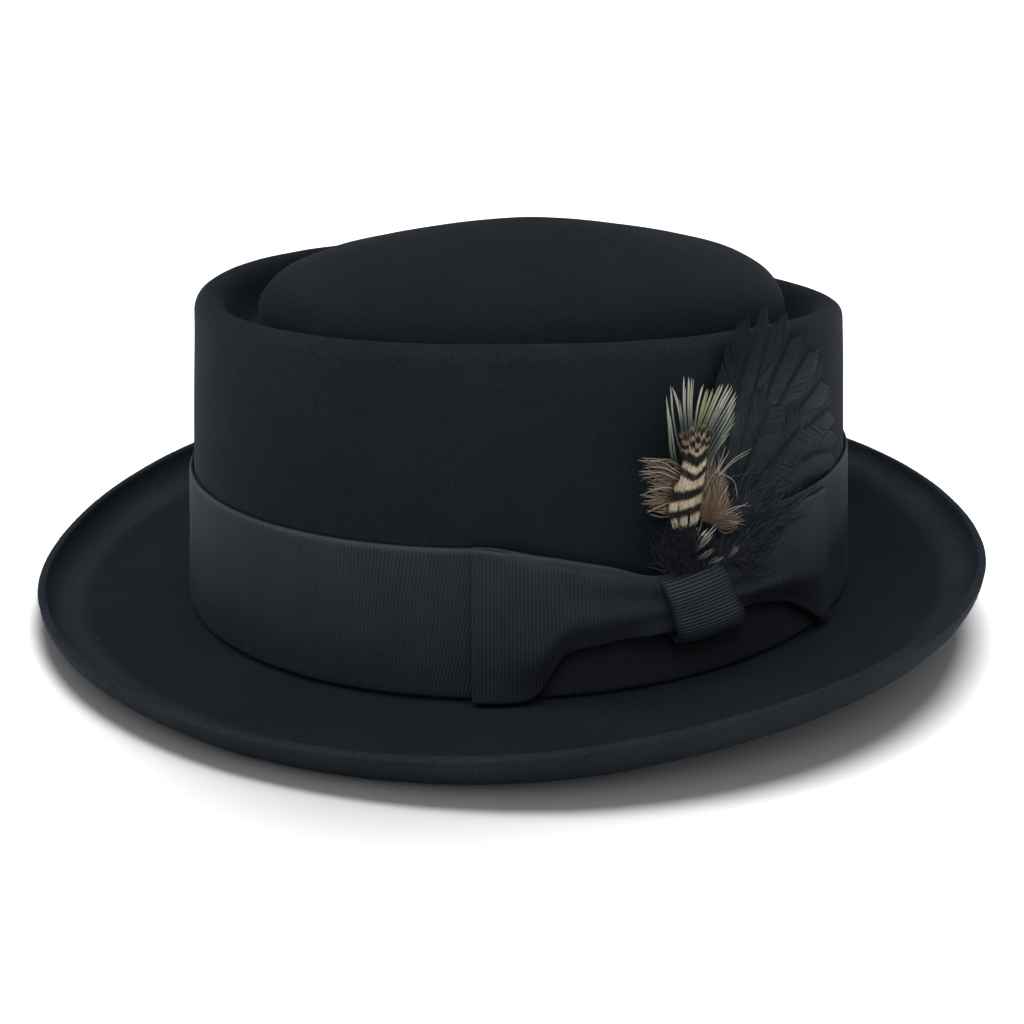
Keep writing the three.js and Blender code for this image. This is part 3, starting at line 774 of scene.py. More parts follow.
# The knot's ribbon in section: up, as a share of its height, and out, as a share of its depth
KNOT_SECTION = [
    (-0.5, 0.2), (-0.38, 0), (0.38, 0), (0.5, 0.2), (0.5, 0.75), (0.36, 1), (0, 1.05), (-0.36, 1),
    (-0.5, 0.75),
]
KNOT_COLUMNS = 25
KNOT_SLANT = 5.9  # how far the knot leans from its top to its foot
KNOT_MOVE = 1.5  # how far the bow's middle is from the knot's
KNOT_FLARE = 0.2  # how much wider the knot is at its foot, as a share
KNOT_TILT = 1.4  # how far each end of the knot's ribs is above or below its middle


def knot_piece():
    depth = BOW_THICKNESS - GAP
    marks = np.array([(up * KNOT_HEIGHT, GAP + out * depth) for up, out in KNOT_SECTION])
    path, tangent, height, run, total = ribbed_path(marks, 10, closed=True)
    up = path[:, 0] / KNOT_HEIGHT
    front = smooth(0.5, 0.9, (path[:, 1] - GAP) / depth)
    waist = 1.04 - 0.05 * front * np.cos(np.pi * up) - KNOT_FLARE * up
    tilt = KNOT_TILT * (0.75 + 0.5 * up)
    rows, rib_light, places = [], [], []

    def row(across, way):
        edge = 1 - abs(across) ** 24
        half = (RIB_DEPTH * 1.5 * height - 0.12) * edge if way > 0 else -0.84
        reach = 3.4 if across > 0 else 1.6
        ragged = SCALLOP * reach * (height - 0.5) * float(abs(across) == 1) * np.sign(across)
        z = path[:, 0] + half * tangent[:, 1] + tilt * across
        off = path[:, 1] - half * tangent[:, 0] - 0.35 * front * abs(across) ** 3
        shift = -up * KNOT_SLANT + 0.8 * smooth(0, 1, across) * smooth(0, -0.5, up)
        along = across * KNOT_WIDTH / 2 * waist + shift + ragged + KNOT_MOVE
        rows.append(on_band(along, knot_middle + z, off))
        # Painted highlight on the crests of the knot's ribs
        rib_light.append(height**2.2 * edge * (way > 0))
        places.append(np.full(len(run), (across + 1) * KNOT_WIDTH / 2))

    steps = np.concatenate([[-1, -0.98], np.linspace(-0.94, 0.94, KNOT_COLUMNS - 4), [0.98, 1]])
    for across in steps:
        row(across, 1)
    for across in steps[::-1][::3]:
        row(across, -1)
    faces = grid_faces(len(rows), len(run), close_rows=True, close_columns=True)
    piece = ribbon_mesh("knot", rows, [faces], rib_light, places, "bow_knot")


loop_piece("bow_front", -1, "bow_front_loop", 0)
loop_piece("bow_back", 1, "bow_back_loop", 2)
knot_piece()

# Feathers. A strand is a thin ridge of three sides, from a row of places (along, up, out).

STRAND_STEPS = 4  # pieces between the chosen places of a strand


def strands(name, paths, widths, ridges, tints, material, replaces, flat=True):
    """paths is (count, stations, 3) on the band's frame; widths and ridges are (count, stations)."""
    paths = np.asarray(paths, float)
    count, stations, _ = paths.shape
    run = np.gradient(paths[..., :2], axis=1)
    run /= np.linalg.norm(run, axis=-1, keepdims=True) + 1e-9
    side = np.stack([run[..., 1], -run[..., 0], 0 * run[..., 0]], axis=-1)
    side = side * np.asarray(widths)[..., None] / 2
    out = np.array([0, 0, 1]) * np.asarray(ridges)[..., None]
    corners = np.stack([paths - side, paths + out, paths + side], axis=2)
    points = on_band(corners[..., 0], corners[..., 1], corners[..., 2]).reshape(-1, 3)
    here = (np.arange(count)[:, None, None] * stations + np.arange(stations - 1)[:, None]) * 3
    a, b = here + np.array([0, 1, 2]), here + np.array([1, 2, 0])
    quads = np.stack([a, b, b + 3, a + 3], axis=-1).reshape(-1, 4)
    first = np.arange(count)[:, None] * stations * 3
    last = first + (stations - 1) * 3
    faces = [quads, first + np.array([[0, 2, 1]]), last + np.array([[0, 1, 2]])]
    tints = np.repeat(np.broadcast_to(tints, (count, stations, 3))[:, :, None, :], 3, axis=2)
    make_mesh(name, points, faces, material, replaces, colours=tints, flat=flat)


def curve_through(places):
    """Paths (count, stations, 3) through rows of places, each (count, 3)."""
    found, _ = spline(np.array(places, float), STRAND_STEPS)
    return np.swapaxes(found, 0, 1)


def taper(stations, start, tip):
    """Width along a strand, as a share of its greatest width."""
    return np.interp(np.linspace(0, 1, stations), [0, 0.45, 0.8, 1], [start, 1, 0.75, tip])


def along_line(places, q):
    """Places at shares q of a line through some places."""
    marks = np.linspace(0, 1, len(places))
    return np.stack([np.interp(q, marks, values) for values in zip(*places)], axis=1)


def fan(rng, count, roots, tips, off, reach, bend, spread, lift):
    """Soft strands from a line of roots to a line of tips, both read at the same share."""
    q = np.sort(rng.uniform(0, 1, count))
    root, tip = along_line(roots, q), along_line(tips, q)
    root = root + rng.normal(0, spread * 0.6, root.shape)
    tip = root + (tip - root) * rng.uniform(*reach, (count, 1)) + rng.normal(0, spread, tip.shape)
    run = tip - root
    beside = np.stack([-run[:, 1], run[:, 0]], axis=1)
    middle = root + run * 0.5 + beside * rng.normal(0, bend, (count, 1))
    hook = tip + beside * rng.normal(0, bend * 0.5, (count, 1))
    level = off + rng.uniform(-0.45, 0.45, (count, 1))
    return curve_through([
        np.concatenate([root, level], axis=1),
        np.concatenate([middle, level + lift * rng.uniform(0.2, 1, (count, 1))], axis=1),
        np.concatenate([hook, level + lift * rng.uniform(-0.2, 1.3, (count, 1))], axis=1),
    ])


# The pale spray: tip, middle and foot of each barb, (along, up), its width and its colour group
PALE_BARBS = [
    ((-7.7, 77.4), (-6.9, 70.4), (-5.3, 59.5), 0.5, "grey"),
    ((-7.6, 75.9), (-6.3, 67.9), (-4.3, 59.0), 0.3, "grey"),
    ((-6.3, 79.9), (-5.9, 73.9), (-4.4, 65.2), 0.5, "grey"),
    ((-5.9, 79.3), (-4.4, 74.6), (-3.4, 68.7), 0.34, "white"),
    ((-4.6, 77.0), (-3.6, 72.4), (-2.9, 67.4), 0.3, "grey"),
    ((-2.7, 81.6), (-2.7, 75.3), (-2.3, 68.5), 0.54, "white"),
    ((-1.0, 81.2), (-1.2, 75.1), (-1.1, 68.4), 0.4, "white"),
    ((-0.4, 81.0), (-0.8, 74.4), (-0.7, 68.3), 0.4, "cream"),
    ((2.8, 79.1), (1.3, 73.8), (0.2, 68.2), 0.4, "white"),
    ((3.7, 77.8), (2.2, 73.1), (0.7, 68.1), 0.5, "olive"),
    ((4.3, 77.5), (2.5, 72.1), (1.0, 67.5), 0.4, "olive"),
    ((5.7, 77.6), (3.5, 72.6), (1.4, 68.0), 0.5, "olive"),
    ((7.9, 78.4), (5.0, 73.3), (2.2, 67.9), 0.6, "olive"),
    ((8.7, 78.4), (5.7, 73.2), (2.7, 67.8), 0.6, "cream"),
    ((10.7, 78.0), (7.3, 73.0), (3.8, 67.7), 0.5, "white"),
    ((11.7, 77.3), (8.4, 72.5), (4.3, 67.0), 0.5, "white"),
    ((12.9, 75.6), (9.5, 71.4), (5.1, 66.2), 0.6, "grey"),
    ((13.1, 74.8), (9.9, 70.4), (5.4, 65.3), 0.4, "grey"),
    ((12.9, 73.0), (10.0, 68.8), (5.7, 63.7), 0.6, "grey"),
    ((12.5, 70.9), (9.7, 67.0), (5.3, 61.9), 0.4, "blue"),
    ((12.5, 68.1), (9.3, 65.2), (4.9, 60.7), 0.5, "blue"),
    ((10.5, 66.0), (7.6, 63.4), (4.0, 59.0), 0.35, "blue"),
]
PALE_COPIES = 3
PALE_ROOT = (-0.8, 55.5)
PALE_OFF = 5.5
PALE_TINTS = {
    "grey": ((0.045, 0.055, 0.045), (0.27, 0.28, 0.22)),
    "white": ((0.08, 0.095, 0.088), (0.4, 0.41, 0.35)),
    "cream": ((0.1, 0.105, 0.065), (0.34, 0.34, 0.24)),
    "olive": ((0.1, 0.105, 0.05), (0.29, 0.3, 0.17)),
    "blue": ((0.04, 0.052, 0.048), (0.2, 0.215, 0.18)),
}


def pale_spray():
    """Each barb with its finer copies, which stray from it and end earlier."""
    rng = np.random.default_rng(11)
    tips, middles, feet, widths, low, high = [], [], [], [], [], []
    for k, (tip, middle, foot, width, group) in enumerate(PALE_BARBS):
        tip, middle, foot = np.array(tip), np.array(middle), np.array(foot)
        for copy in range(PALE_COPIES):
            jitter, reach, finer = (0, 1, 1) if copy == 0 else (0.32, rng.uniform(0.55, 0.97), 0.62)
            move = rng.normal(0, jitter, 2)
            top = middle + (tip - middle) * reach + move * [1, 0.3]
            level = PALE_OFF + rng.uniform(-0.35, 0.35) + 0.25 * (k % 2)
            tips.append([*top, level + 0.5])
            middles.append([*(middle + move * 0.7), level + 0.15])
            feet.append([*(foot + move * 0.3), level])
            widths.append(width * finer)
            low.append(PALE_TINTS[group][0])
            high.append(PALE_TINTS[group][1])
    count = len(tips)
    root = np.array([[*PALE_ROOT, PALE_OFF]] * count) + rng.normal(0, 0.4, (count, 3)) * [1, 1, 0.3]
    paths = curve_through([root, feet, middles, tips])
    share = np.linspace(0, 1, paths.shape[1])
    swell = np.interp(share, [0, 0.35, 0.65, 0.92, 1], [0.5, 1.0, 1.05, 0.75, 0.1])
    width = np.array(widths)[:, None] * swell
    low, high = np.array(low)[:, None, :], np.array(high)[:, None, :]
    tint = mix(low, high, smooth(0.35, 0.85, share)[None, :, None]) * rng.uniform(0.8, 1.15, (count, 1, 1))
    strands("pale_barbs", paths, width, width * 0.35, tint, pale_vane, ["pale_spray"])


# The barred feather: up, middle along and half width
BARRED_OUTLINE = [
    (45.2, -6.3, 3.2), (46.4, -6.2, 3.7), (48.0, -5.9, 4.2), (50.2, -5.85, 4.25), (52.5, -5.35, 4.25),
    (54.3, -4.9, 4.0), (56.5, -4.35, 4.0), (58.2, -3.45, 3.55), (60.0, -3.05, 3.35), (62.3, -2.65, 3.25),
    (64.5, -2.5, 3.9), (66.9, -2.2, 4.7), (69.3, -2.1, 4.8), (71.0, -2.05, 3.9), (72.2, -2.0, 2.2),
]
# How light the vane is at each height
BARS = [
    (46.2, 0), (47.2, 0.7), (48.9, 0.85), (49.4, 0), (51.0, 0), (51.5, 0.9), (53.0, 1), (53.5, 0),
    (55.3, 0), (55.8, 1), (57.1, 1), (57.5, 0), (58.8, 0), (59.2, 1), (60.4, 1), (60.9, 0), (63.1, 0),
    (63.4, 0.9), (64.0, 0.9), (64.4, 0), (65.6, 0), (66.0, 0.8), (66.7, 0.75), (67.1, 0.02),
    (68.4, 0.02), (68.7, 0.65), (69.3, 0.65), (69.7, 0.05), (70.8, 0.05), (71.1, 0.5), (73, 0.5),
]
# How much higher the bars are at the vane's sides than in its middle, and at its right than its left
BAR_SLOPE = [(47, 0.0), (52, 0.0), (56, 0.08), (58.5, 0.5), (61, 0.62), (65, 0.5), (73, 0.2)]
BAR_TILT = [(47, 0.1), (53, 0.17), (56, 0.06), (58, 0), (73, 0)]
SPOT_WIDTH = 1.55
BARRED_OFF = 9.3
BARRED_STRANDS = 620
BARRED_STATIONS = 13
BARRED_FEET = (45.2, 65.0)
BARRED_HEAD = 72.0
CREAM = np.array([0.5, 0.42, 0.31])
DARK_BROWN = np.array([0.008, 0.006, 0.006])
TAN = np.array([0.19, 0.122, 0.058])


def at_height(table, up):
    """The columns of a table after its first, read at heights up."""
    first, *others = np.array(table).T
    return [np.interp(up, first, column) for column in others]


def barred_feather():
    rng = np.random.default_rng(5)
    count, each = BARRED_STRANDS, (BARRED_STRANDS, 1)
    foot = np.sort(rng.uniform(*BARRED_FEET, count))[::-1][:, None]
    reach = rng.uniform(4.5, 7.0, count)[:, None]
    across = rng.uniform(-1, 1, count)[:, None]
    share = np.linspace(0, 1, BARRED_STATIONS)
    head = BARRED_HEAD - 1.6 * across**2 + rng.normal(0, 0.25, each)
    up = np.minimum(foot + reach * share, head) + share * 0.02
    middle, half = at_height(BARRED_OUTLINE, up)
    open_ = across * (0.72 + 0.32 * share)
    along = middle + half * open_ + rng.normal(0, 0.08, each)
    off = BARRED_OFF + 0.9 * (1 - open_**2) + (58 - up) * 0.012 + 0.35 * np.sin(np.pi * share)
    off = off + rng.uniform(-0.15, 0.15, each)
    slope, = at_height(BAR_SLOPE, up)
    tilt, = at_height(BAR_TILT, up)
    aside = along - middle
    column = np.floor(aside / SPOT_WIDTH + 0.5 + rng.normal(0, 0.12, each))
    spotty = smooth(63.5, 66.5, up) * (0.75 * (-1.0) ** column + rng.normal(0, 0.15, each))
    mark = up - slope * abs(aside) - tilt * aside + spotty + rng.normal(0, 0.08, each)
    light, = at_height(BARS, mark)
    light = np.clip(light + rng.normal(0, 0.03, each), 0, 1)[..., None]
    edge = abs(aside) / half
    brown = smooth(62.5, 66.5, up) * (0.35 + 0.65 * smooth(0.25, 0.75, edge)) + 0.45 * smooth(0.65, 1, edge)
    split = np.where(np.isin(np.floor(across * 5.5), (-4, 0)), smooth(46.2, 49.4, up[:, :1]), 1)[..., None]
    mottle = 1 - 0.45 * rng.uniform(0, 1, (count, BARRED_STATIONS, 1)) ** 2
    tint = mix(DARK_BROWN, mix(CREAM, TAN, 0.8 * brown[..., None]), light * split * mottle)
    tint = tint * rng.uniform(0.72, 1.15, (count, 1, 1))
    width = 0.42 * taper(BARRED_STATIONS, 0.7, 0.2) * rng.uniform(0.75, 1.15, each)
    paths = np.stack([along, up, off], axis=-1)
    node = "barred_feather"
    strands("barred_vane", paths, width, width * 0.4, tint, barred_vane, [node])


# Brown down: how many strands, how far out, and the lines of their roots and tips, (along, up)
BROWN_TUFTS = [
    (
        150, 7.5, [(-5.0, 59.5), (-7.8, 49.0)],
        [
            (-11, 62.6), (-16.6, 63.4), (-16.2, 59.8), (-13.4, 57.4), (-15.0, 55.9), (-15.6, 54.4),
            (-14.6, 51.6), (-12.2, 50.2),
        ],
    ),
    (120, 7.6, [(-5.0, 58.5), (-7.4, 49.5)], [(-9.5, 60.6), (-12.0, 59.2), (-12.0, 54.0), (-10.5, 50.5)]),
    (
        210, 7.7, [(0.2, 46.5), (3.6, 45.2)],
        [(0.6, 58.6), (2.6, 60.8), (5.2, 61.4), (7.2, 57.0), (7.6, 52.5), (8.6, 48.6)],
    ),
    (90, 7.7, [(2.0, 46.6), (3.4, 44.6)], [(9.8, 47.4), (12.4, 45.0), (11.6, 43.2)]),
]
BROWN_HAIRS = [
    ((5.0, 57.0), (9.5, 60.2), (14.9, 61.9)), ((4.8, 56.6), (9.2, 59.4), (14.1, 61.1)),
    ((4.4, 57.5), (6.5, 60.5), (7.9, 62.6)), ((4.0, 57.5), (5.8, 61.2), (6.8, 64.0)),
    ((5.4, 57.3), (9.2, 54.6), (9.9, 50.2)), ((5.0, 47.0), (9.6, 48.2), (13.9, 47.6)),
    ((5.6, 46.5), (9.4, 47.6), (13.2, 48.6)), ((-6.0, 59.0), (-11.2, 62.7), (-16.9, 63.7)),
    ((-6.4, 57.5), (-11.5, 60.1), (-17.0, 60.2)), ((-6.8, 55.5), (-11.8, 56.3), (-16.9, 55.2)),
    ((-7.4, 52.5), (-11.4, 52.0), (-15.2, 50.9)), ((-6.2, 58.4), (-10.6, 61.2), (-15.8, 61.8)),
]
BROWN_HAIR_OFF = 8.3
BROWN_HAIR_WIDTH = 0.17
BROWN_ROOT = np.array([0.075, 0.046, 0.029])
BROWN_TIP = np.array([0.3, 0.205, 0.135])
PALE_TIP = np.array([0.36, 0.34, 0.28])


def brown_down():
    rng = np.random.default_rng(23)
    paths, tints, widths = [], [], []
    for count, off, roots, tips in BROWN_TUFTS:
        made = fan(rng, count, roots, tips, off, reach=(0.5, 1.06), bend=0.1, spread=0.5, lift=0.5)
        share = np.linspace(0, 1, made.shape[1])[:, None]
        light = 1.35 * rng.uniform(0.0, 1.0, (count, 1, 1)) ** 1.6
        tint = BROWN_ROOT + (BROWN_TIP - BROWN_ROOT) * share**1.2 * light
        paths.append(made)
        tints.append(tint + 0.35 * (PALE_TIP - BROWN_TIP) * share**4)
        widths.append(rng.uniform(0.16, 0.34, (count, 1)) * taper(made.shape[1], 0.8, 0.12))
    level = np.full((len(BROWN_HAIRS), 1), BROWN_HAIR_OFF)
    rows = np.swapaxes(np.array(BROWN_HAIRS), 0, 1)
    made = curve_through([np.concatenate([row, level + 0.3 * k], axis=1) for k, row in enumerate(rows)])
    paths.append(made)
    tints.append(np.broadcast_to(PALE_TIP * 0.9, made.shape))
    widths.append(np.broadcast_to(BROWN_HAIR_WIDTH * taper(made.shape[1], 1, 0.3), made.shape[:2]))
    paths, tints, widths = (np.concatenate(x) for x in (paths, tints, widths))
    replaced, slot = ["brown_down"], "brown_feather"
    strands("brown_strands", paths, widths, widths * 0.5, tints, brown_fluff, replaced)


# Black down, the dark base under the barred feather and the soft fluff behind it: how many strands,
# how far out, how bent, how light, and the lines of their roots and tips, (along, up)
BLACK_TUFTS = [
    (
        300, 5.0, 0.14, 1.4, [(-3, 33.4), (4, 33.4)],
        [(-10.5, 36), (-11, 42), (-9.5, 46.5), (-3, 47), (3, 46), (8, 42)],
    ),
    (
        150, 4.4, 0.2, 1.4, [(-3, 34.5), (3, 34.5)],
        [(-12.5, 39), (-13, 44), (-10.5, 48), (0, 47.5), (5, 43.5)],
    ),
    (
        420, 4.6, 0.16, 2.1, [(3, 34), (12, 36)],
        [(14, 53), (22, 55), (30, 53), (37, 49), (42, 43), (41, 36), (33, 30), (22, 29)],
    ),
    (
        200, 5.4, 0.2, 1.7, [(6, 34), (11, 34.5)],
        [(11, 47), (19, 48), (26, 44), (28, 36), (22, 30)],
    ),
    (
        120, 9.8, 0.12, 1.0, [(-6, 41.5), (-3.4, 41)],
        [(-13, 44), (-11.5, 47.5), (-8, 48.6), (-5.5, 48), (-4.4, 46)],
    ),
]
# Pale tips in the black down: foot and tip (along, up), width, how light
CREAM_LEAVES = [
    ((-3.0, 40.4), (-0.8, 45.2), 1.6, 0.9), ((-2.4, 39.4), (3.0, 43.8), 2.5, 1.3),
    ((-1.2, 37.0), (2.8, 38.5), 1.2, 0.35), ((1.6, 35.2), (5.6, 36.0), 1.2, 0.42),
    ((7.6, 35.8), (10.6, 37.8), 0.8, 0.35), ((-3.2, 44.2), (-2.2, 46.4), 0.9, 0.25),
]
LEAF_STRANDS = 11
LEAF_OFF = 7.5
LEAF_STRAND_WIDTH = 0.27
BLACK = np.array([0.0125, 0.0145, 0.0185])
LEAF = np.array([0.34, 0.33, 0.27])


def black_down():
    rng = np.random.default_rng(31)
    paths, tints, widths = [], [], []
    for count, off, bend, light, roots, tips in BLACK_TUFTS:
        made = fan(rng, count, roots, tips, off, reach=(0.45, 1.05), bend=bend, spread=0.9, lift=0.9)
        paths.append(made)
        tints.append(np.broadcast_to(BLACK * light * rng.uniform(0.6, 1.5, (count, 1, 1)), made.shape))
        widths.append(rng.uniform(0.14, 0.34, (count, 1)) * taper(made.shape[1], 0.8, 0.1))
    paths, tints, widths = (np.concatenate(x) for x in (paths, tints, widths))
    strands("black_fluff", paths, widths, widths * 0.5, tints, black_fluff, ["black_down"])
    cream_tips(rng)


def cream_tips(rng):
    paths, tints = [], []
    for foot, tip, width, light in CREAM_LEAVES:
        foot, tip = np.array(foot), np.array(tip)
        run = tip - foot
        side = np.array([run[1], -run[0]]) / np.linalg.norm(run) * width
        for x in np.linspace(-1, 1, LEAF_STRANDS):
            start = foot + side * x * 0.2 + rng.normal(0, 0.25, 2)
            middle = foot + run * 0.55 + side * x * 0.5 + rng.normal(0, 0.2, 2)
            end = foot + run * (1.0 - 0.25 * x * x + rng.normal(0, 0.16)) + side * x * 0.4
            end = end + rng.normal(0, 0.25, 2)
            level = LEAF_OFF + 0.35 * (1 - x * x)
            made = curve_through([[[*start, level]], [[*middle, level + 0.3]], [[*end, level + 0.2]]])
            streak = 0.2 if abs(x) < 0.15 else rng.uniform(0.35, 1.15)
            share = np.linspace(0, 1, made.shape[1])[:, None]
            paths.append(made[0])
            tints.append(LEAF * light * streak * smooth(0.05, 0.75, share) + BLACK)
    paths = np.array(paths)
    width = np.broadcast_to(LEAF_STRAND_WIDTH * taper(paths.shape[1], 0.7, 0.15), paths.shape[:2])
    strands("cream_tips", paths, width, width * 0.4, np.array(tints), pale_vane, ())


# Large black feathers: tip (along, up), bend, greatest half width, out from the band
BLADES = [
    ((62.0, 49.0), 0.14, 6.5, 1.0), ((61.0, 60.5), 0.12, 7.5, 1.08), ((55.5, 69.5), 0.09, 8.5, 1.16),
    ((47.5, 78.5), 0.07, 9.0, 1.24), ((38.8, 83.6), 0.05, 9.0, 1.32), ((30.4, 87.2), 0.02, 6.5, 1.42),
    ((23.5, 86.0), 0.06, 8.0, 1.38), ((29.0, 68.0), 0.03, 9.5, 1.58), ((43.0, 60.0), 0.07, 9.0, 1.5),
]
BLADE_ROOT = np.array([9.6, 35.5])
BLADE_BARBS = 170
BLADE_GROUPS = 6  # how many times each side of a vane splits
BARB_WIDTHS = 1.35 * np.array([0.9, 1.1, 1.2, 1.2, 1.1, 0.9, 0.3])
BARB_RIDGES = 0.08 * np.array([1, 1, 1, 1, 1, 0.8, 0.4])
BLADE_TINT = np.array([0.0135, 0.018, 0.0212])
QUILL_STEPS = 12
QUILL_OFF = 0.45
QUILL_WIDTHS = (0.7, 0.15)


def quill(tip, bend, t):
    """Places and directions at t along a bent quill, which runs on straight past its tip."""
    run = np.array(tip) - BLADE_ROOT
    control = BLADE_ROOT + run * 0.5 + np.array([-run[1], run[0]]) * bend * 2
    s = np.minimum(t, 1)[..., None]
    on = (1 - s) ** 2 * BLADE_ROOT + 2 * s * (1 - s) * control + s**2 * tip
    way = 2 * (1 - s) * (control - BLADE_ROOT) + 2 * s * (tip - control)
    way /= np.linalg.norm(way, axis=-1, keepdims=True)
    return on + np.maximum(t - 1, 0)[..., None] * 2 * (tip - control), way


def blade_barbs(rng, tip, bend, half, off):
    """The barbs of one vane. They part in groups, each with a slack of its own."""
    start = np.tile(np.linspace(0.02, 1.0, BLADE_BARBS), 2)
    way_out = np.repeat([-1.0, 1.0], BLADE_BARBS)
    group = (start * BLADE_GROUPS + (way_out > 0) * 0.37).astype(int)
    slack = rng.normal(0, 1, 40)[group]
    stop = start + 0.17 + 0.014 * slack + rng.normal(0, 0.013, len(start))
    stop = np.where(stop > 1.0, 1.0 + (stop - 1.0) * 0.5, stop)
    swell = half * np.clip(stop / 0.45, 0, 1) ** 0.75 * (1 - 0.2 * smooth(0.9, 1.05, stop))
    swell = swell * np.clip((1.1 - start) / 0.2, 0.12, 1) ** 0.6 * (1 + 0.03 * slack)
    share = np.linspace(0, 1, len(BARB_WIDTHS))
    t = start[:, None] + (stop - start)[:, None] * share
    x = swell[:, None] * share**0.85 * way_out[:, None]
    on, way = quill(tip, bend, t)
    place = on + np.stack([way[..., 1], -way[..., 0]], axis=-1) * x[..., None]
    level = off + 0.24 * (1 - (x / half) ** 2) + 0.04 * slack[:, None] * share + 0.2 * smooth(0.8, 1.1, t)
    return np.concatenate([place, level[..., None]], axis=-1), slack


def black_feathers():
    rng = np.random.default_rng(47)
    paths, tints, widths, ridges, shafts = [], [], [], [], []
    for tip, bend, half, off in BLADES:
        made, slack = blade_barbs(rng, tip, bend, half, off)
        spacing = 0.95 * np.hypot(*(tip - BLADE_ROOT)) / BLADE_BARBS
        shade = (1 + 0.06 * slack) * rng.uniform(0.8, 1.2, len(made)) * rng.uniform(0.92, 1.1)
        up = made[..., 1]
        shine = mix(1.5, 0.62, smooth(66, 84, up)) * mix(0.8, 1, smooth(38, 50, up))
        paths.append(made)
        tints.append(BLADE_TINT * (shade[:, None] * shine)[..., None])
        widths.append(np.broadcast_to(spacing * BARB_WIDTHS, made.shape[:2]))
        ridges.append(np.broadcast_to(BARB_RIDGES, made.shape[:2]))
        on, _ = quill(tip, bend, np.linspace(0, 1, QUILL_STEPS))
        shafts.append(np.concatenate([on, np.full((QUILL_STEPS, 1), off + QUILL_OFF)], axis=1))
    paths, tints, widths, ridges = (np.concatenate(x) for x in (paths, tints, widths, ridges))
    replaced = ["black_feathers"]
    strands("black_blades", paths, widths, ridges, tints, black_vane, replaced, flat=False)
    width = np.broadcast_to(np.linspace(*QUILL_WIDTHS, QUILL_STEPS), (len(shafts), QUILL_STEPS))
    strands("black_quills", shafts, width, width * 0.4, BLADE_TINT * 0.9, black_vane, ())


black_feathers()
black_down()
pale_spray()
brown_down()
barred_feather()

# Stage, light and camera

FLOOR_REACH = 15
FLOOR_GREY = 0.52
BACKDROP_REACH = 14
BACKDROP_FOOT = -0.5
BACKDROP_HEIGHT = 2.6
BACKDROP_SIDES = 64
WORLD_LIGHT = 0.42
# Soft lights: what each lights, direction from the hat, how wide it looks in degrees, strength
SUNS = [
    ("floor", (-0.51, 0.515, 0.84), 48, 11),
    ("hat", (0.14, -0.34, 1.0), 60, 2.2),
]


def stage_piece(name, points, faces, inputs):
    mesh = bpy.data.meshes.new(name)
    mesh.from_pydata(points, [], faces)
    material, _, shader = new_material(name)
    set_inputs(shader, inputs)
    mesh.materials.append(material)
    piece = bpy.data.objects.new(name, mesh)
    bpy.context.scene.collection.objects.link(piece)
    return piece


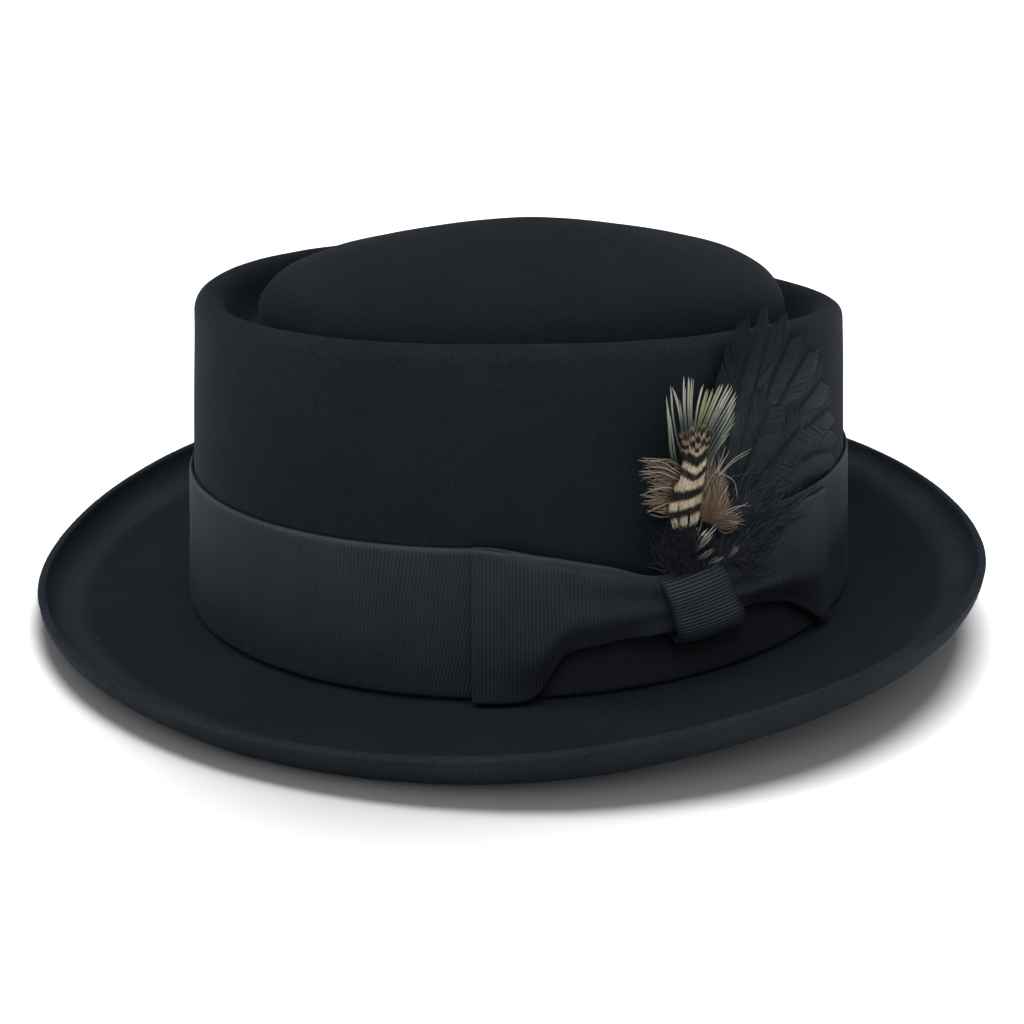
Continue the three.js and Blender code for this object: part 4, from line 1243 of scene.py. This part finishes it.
def stage():
    """A pale floor, a white ring far round it, an even sky and two soft suns."""
    hat = [piece for piece in bpy.data.objects if piece.type == "MESH"]
    corners = [(x * FLOOR_REACH, y * FLOOR_REACH, 0) for x, y in ((-1, -1), (1, -1), (1, 1), (-1, 1))]
    grey = {"Base Color": (*[FLOOR_GREY] * 3, 1), "Roughness": 0.9, "Specular IOR Level": 0.1}
    floor = stage_piece("floor", corners, [(0, 1, 2, 3)], grey)

    turns = [2 * math.pi * k / BACKDROP_SIDES for k in range(BACKDROP_SIDES)]
    ring = [
        (BACKDROP_REACH * math.cos(turn), BACKDROP_REACH * math.sin(turn), z)
        for z in (BACKDROP_FOOT, BACKDROP_HEIGHT)
        for turn in turns
    ]
    walls = grid_faces(2, BACKDROP_SIDES, close_columns=True).tolist()
    glow = {"Base Color": (0, 0, 0, 1), "Emission Color": (1, 1, 1, 1), "Emission Strength": 1}
    backdrop = stage_piece("backdrop", ring, walls, glow)
    backdrop.visible_shadow = False

    world = bpy.data.worlds.new("studio")
    bpy.context.scene.world = world
    world.use_nodes = True
    background = next(n for n in world.node_tree.nodes if n.type == "BACKGROUND")
    set_inputs(background, {"Color": (1, 1, 1, 1), "Strength": WORLD_LIGHT})

    lit = {"floor": [floor], "hat": hat}
    for name, toward, spread, power in SUNS:
        data = bpy.data.lights.new(name, "SUN")
        data.angle = math.radians(spread)
        data.energy = power
        lamp = bpy.data.objects.new(name, data)
        bpy.context.scene.collection.objects.link(lamp)
        lamp.location = Vector(toward)
        lamp.rotation_mode = "QUATERNION"
        lamp.rotation_quaternion = (-Vector(toward)).to_track_quat("-Z", "Y")
        group = bpy.data.collections.new("lit_" + name)
        for piece in lit[name]:
            group.objects.link(piece)
        lamp.light_linking.receiver_collection = group
        if name == "floor":
            backdrop.light_linking.receiver_collection = group


# The photograph's camera, worked out from the ovals of the rim, band and brim
AZIMUTH = 51.0
ELEVATION = 17.0
DISTANCE = 0.483
ROLL = 1.2
TARGET_HEIGHT = 0.0455
FRAME = 1024
FOCAL = 1665
MIDDLE = (530.4, 423.0)
SENSOR = 36.0
CLIP = (0.01, 200)


def camera():
    a, e, r = math.radians(AZIMUTH), math.radians(ELEVATION), math.radians(ROLL)
    back = Vector((math.sin(a) * math.cos(e), -math.cos(a) * math.cos(e), math.sin(e)))
    right = Vector((math.cos(a), math.sin(a), 0))
    up = back.cross(right)
    x = right * math.cos(r) + up * math.sin(r)
    y = -right * math.sin(r) + up * math.cos(r)
    data = bpy.data.cameras.new("camera")
    data.sensor_width = SENSOR
    data.lens = SENSOR * FOCAL / FRAME
    data.shift_x = (FRAME / 2 - MIDDLE[0]) / FRAME
    data.shift_y = (MIDDLE[1] - FRAME / 2) / FRAME
    data.clip_start, data.clip_end = CLIP
    view = bpy.data.objects.new("camera", data)
    bpy.context.scene.collection.objects.link(view)
    place = Vector((0, CROWN_SHIFT * MM, TARGET_HEIGHT)) + back * DISTANCE
    view.matrix_world = Matrix.Translation(place) @ Matrix((x, y, back)).transposed().to_4x4()
    bpy.context.scene.camera = view


stage()
camera()
bpy.context.scene.view_settings.view_transform = "Standard"
bpy.context.scene.view_settings.look = "None"
